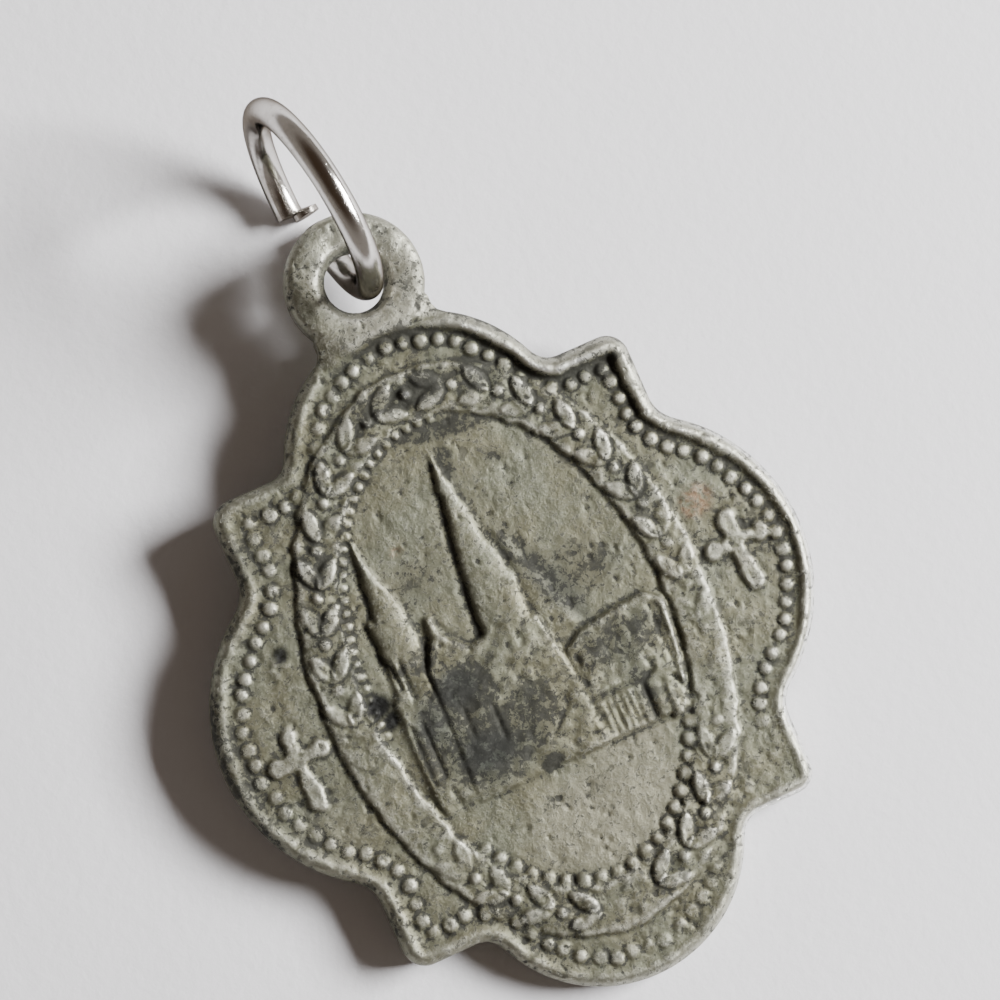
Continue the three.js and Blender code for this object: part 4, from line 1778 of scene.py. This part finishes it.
    def colour_in(self, medal: bpy.types.Object) -> None:
        """Gives each vertex the numbers that the finish reads.

        Args:
            medal: The struck medal.
        """
        points = mesh_points(medal)
        face = self.face
        on_top = smooth_step(points[:, 2], 0.6, 1.0)
        maps = {
            "stain": face.stain,
            "pits": face.pits,
            "rough": face.rough,
            "dull": face.patches(face.DULL_PATCHES),
            "blot": face.patches(face.BLOTS),
            "bluish": face.patches(face.BLUISH_PATCHES),
            "pale": face.patches(face.PALE_PATCHES),
            "rusty": face.patches(face.RUSTY_PATCHES),
        }
        for name, values in maps.items():
            give_attribute(medal, name, on_top * face.sheet.sample(values, points[:, 0], points[:, 1]))
        # crest: rubbed metal, and a painted highlight along the outer edge on the lit side.
        crests_and_highlight = face.sheet.sample(face.crests_and_highlight(), points[:, 0], points[:, 1])
        give_attribute(medal, "crest", crests_and_highlight * smooth_step(points[:, 2], 0.1, 0.6))

    def lay(self, medal: bpy.types.Object, back: dict[str, object]) -> None:
        """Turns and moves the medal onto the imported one's place.

        Args:
            medal: The finished medal in its own frame.
            back: The record's mount on the flat back.
        """
        down = Vector(back["axis"])
        pick(medal)
        medal.scale = (MM, MM, MM)
        medal.rotation_euler = Euler((math.atan2(down.y, -down.z), 0, 0))
        medal.location = Vector(back["pos_m"])
        bpy.ops.object.transform_apply(location=True, rotation=True, scale=True)


@dataclass
class JumpRing:
    """The open ring of round wire.

    Attributes:
        radius: Radius of the wire's middle line.
        wire: Radius of the wire.
        gap: Opening between the ends.
        twist: How far the ends stand apart sideways.
        gap_angle: Where the gap is, in degrees below level on the outer side.
        lean: Lean to the side in degrees.
        turn: Turn about the upright in degrees.
        sides: Sides of the wire's section.
        steps: Sections along the wire.
    """

    radius: float = 3.65
    wire: float = 0.5
    gap: float = 0.5
    twist: float = -0.55
    gap_angle: float = 96.0
    lean: float = 4.0
    turn: float = 8.5
    sides: int = 28
    steps: int = 200

    def build(self, finish: bpy.types.Material, low: Vector, high: Vector) -> bpy.types.Object:
        """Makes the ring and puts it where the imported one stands.

        Args:
            finish: Its material.
            low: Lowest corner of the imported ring, in metres.
            high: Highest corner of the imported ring, in metres.

        Returns:
            The ring.
        """
        ring = self.bend_wire()
        self.spread_ends(ring)
        self.stand(ring, low, high)
        ring.data.materials.clear()
        ring.data.materials.append(finish)
        return ring

    def bend_wire(self) -> bpy.types.Object:
        """Spins a round section about the ring's axis, from one end of the gap to the other.

        Returns:
            The ring in its own plane, with x across it.
        """
        opening = self.gap / self.radius
        start = -math.radians(self.gap_angle) + opening / 2
        let_go()
        bpy.ops.mesh.primitive_circle_add(vertices=self.sides, radius=self.wire, fill_type="NGON")
        ring = bpy.context.object
        ring.name = "ring_wire_bent"
        points = mesh_points(ring)
        reach = self.radius + points[:, 1]
        move_points(ring, np.column_stack([
            points[:, 0], -reach * math.cos(start), reach * math.sin(start)]))
        bpy.ops.object.mode_set(mode="EDIT")
        bpy.ops.mesh.select_all(action="SELECT")
        bpy.ops.mesh.spin(
            steps=self.steps, angle=FULL_TURN - opening, center=(0, 0, 0), axis=(-1, 0, 0))
        bpy.ops.mesh.select_all(action="SELECT")
        bpy.ops.mesh.normals_make_consistent(inside=False)
        bpy.ops.object.mode_set(mode="OBJECT")
        return ring

    def spread_ends(self, ring: bpy.types.Object) -> None:
        """Pushes the ends apart sideways, and notes the places that the finish reads.

        Args:
            ring: The ring in its own plane.
        """
        cut_start = 0.485
        points = mesh_points(ring)
        opening = self.gap / self.radius
        middle_of_gap = -math.radians(self.gap_angle)
        angle = (np.arctan2(points[:, 2], -points[:, 1]) - middle_of_gap) % FULL_TURN - opening / 2
        share = np.clip(angle / (FULL_TURN - opening), 0, 1)
        out = np.hypot(points[:, 1], points[:, 2]) - self.radius
        around_wire = np.arctan2(out, points[:, 0])
        points[:, 0] += self.twist * (share - 0.5) * np.abs(2 * share - 1) ** 2
        move_points(ring, points)
        give_attribute(ring, "along", share * FULL_TURN * self.radius)
        give_attribute(ring, "across", np.sin(around_wire) * self.wire * 2 + np.cos(around_wire))
        give_attribute(ring, "cut", smooth_step(np.abs(share - 0.5), cut_start, 0.5))
        pick(ring)
        bpy.ops.object.shade_smooth_by_angle(angle=math.radians(50))

    def stand(self, ring: bpy.types.Object, low: Vector, high: Vector) -> None:
        """Leans and turns the ring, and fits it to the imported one's length and height.

        Args:
            ring: The ring in its own plane.
            low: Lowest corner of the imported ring, in metres.
            high: Its highest corner.
        """
        pick(ring)
        lean, turn = math.radians(self.lean), math.radians(self.turn)
        stance = Matrix.Rotation(turn, 3, "Z") @ Matrix.Rotation(lean, 3, "Y")
        ring.rotation_euler = stance.to_euler()
        ring.scale = (MM, MM, MM)
        bpy.ops.object.transform_apply(location=True, rotation=True, scale=True)
        points = mesh_points(ring)
        room = np.array(high - low) / 2
        share = min(1.0, (room / np.abs(points).max(0))[1:].min())
        move_points(ring, points * share + np.array((low + high) / 2))


# the studio


@dataclass(frozen=True)
class Studio:
    """The pale floor, the lights and the camera.

    Attributes:
        eye: The camera's place in millimetres.
        target: Where its middle looks, on the floor.
        roll: Turn of the picture, in degrees.
        lens: Focal length in millimetres.
        sensor: Width of the sensor in millimetres.
        floor_size: Width of the floor in metres.
        room_low: Colour of the room near the horizon.
        room_high: Its colour overhead.
        room_strength: Its brightness.
    """

    eye: Triple = (-14.05, -5.04, 115.97)
    target: Triple = (1.9, 0.85, 0.0)
    roll: float = 24.49
    lens: float = 115.2
    sensor: float = 36.0
    floor_size: float = 3.0
    room_low: Colour = tone(205, 196, 188)
    room_high: Colour = tone(92, 74, 58)
    room_strength: float = 0.5

    def build(self, paper: bpy.types.Material) -> None:
        """Makes the floor, the camera and the lights.

        Args:
            paper: The floor's material.
        """
        self.add_floor(paper)
        self.add_camera()
        self.add_lights()

    def add_floor(self, paper: bpy.types.Material) -> None:
        """Lays the paper under the medal.

        Args:
            paper: Its material.
        """
        let_go()
        bpy.ops.mesh.primitive_plane_add(size=self.floor_size)
        floor = bpy.context.object
        floor.name = "paper_floor"
        floor.data.materials.append(paper)

    def add_camera(self) -> None:
        """Puts the camera at the photograph's viewing angle."""
        eye, target = Vector(self.eye) * MM, Vector(self.target) * MM
        back = (eye - target).normalized()
        right = Vector((0, 1, 0)).cross(back).normalized()
        up = back.cross(right)
        rolled = Matrix.Rotation(-math.radians(self.roll), 3, "Z")
        basis = Matrix((right, up, back)).transposed() @ rolled
        let_go()
        bpy.ops.object.camera_add(location=eye, rotation=basis.to_euler())
        camera = bpy.context.object
        camera.name = "camera"
        camera.data.lens = self.lens
        camera.data.sensor_width = self.sensor
        camera.data.clip_start = 0.001
        bpy.context.scene.camera = camera

    def add_lights(self) -> None:
        """Sets a soft window light low on the right, in a dim room."""
        self.softbox("window", bearing_deg=-8.0, elevation=32.0, distance=0.3,
                     size=(0.16, 0.1), power=3.6)
        self.add_room()

    def add_room(self) -> None:
        """Surrounds the scene with a room that is pale low down and dark brown overhead."""
        nodes = Nodes(bpy.data.worlds.new("room"), "Background")
        direction = nodes.add("ShaderNodeTexCoord", {}, {}, "Generated")
        upward = nodes.add("ShaderNodeSeparateXYZ", {}, {"Vector": direction}, "Z")
        colour = nodes.mix(upward.eased(0.3, 0.85), self.room_low, self.room_high)
        bpy.context.scene.world = nodes.finish(color=colour, strength=self.room_strength)

    def softbox(self, name: str, bearing_deg: float, elevation: float, distance: float,
                size: tuple[float, float], power: float) -> None:
        """Adds a flat light that faces the medal.

        Args:
            name: The light's name.
            bearing_deg: Direction from the medal, 0 along +X and 90 along +Y.
            elevation: Height above the floor in degrees.
            distance: Distance from the medal in metres.
            size: Width and height in metres.
            power: Power in watts.
        """
        turn, rise = math.radians(bearing_deg), math.radians(elevation)
        level = math.cos(rise)
        out = Vector((math.cos(turn) * level, math.sin(turn) * level, math.sin(rise)))
        let_go()
        bpy.ops.object.light_add(type="AREA", location=out * distance,
                                 rotation=out.to_track_quat("Z", "Y").to_euler())
        light = bpy.context.object
        light.name = name
        light.data.shape = "RECTANGLE"
        light.data.size, light.data.size_y = size
        light.data.energy = power


def main() -> None:
    """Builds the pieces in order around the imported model."""
    logging.basicConfig(level=logging.INFO, format="%(name)s: %(message)s")
    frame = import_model()
    back = next(mount for mount in frame["record"]["mounts"] if mount["name"] == "back")

    outline = Outline()
    medal = Medal(outline, Face(outline)).build(CastMetal().build(), back)
    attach(medal, "root")
    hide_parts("medal")
    log.info("%s: %d faces", medal.name, len(medal.data.polygons))

    ring = JumpRing().build(RingWire().build(), *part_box("jump_ring"))
    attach(ring, "root")
    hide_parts("jump_ring")
    log.info("%s: %d faces", ring.name, len(ring.data.polygons))

    Studio().build(Paper().build())


if __name__ == "__main__":
    main()
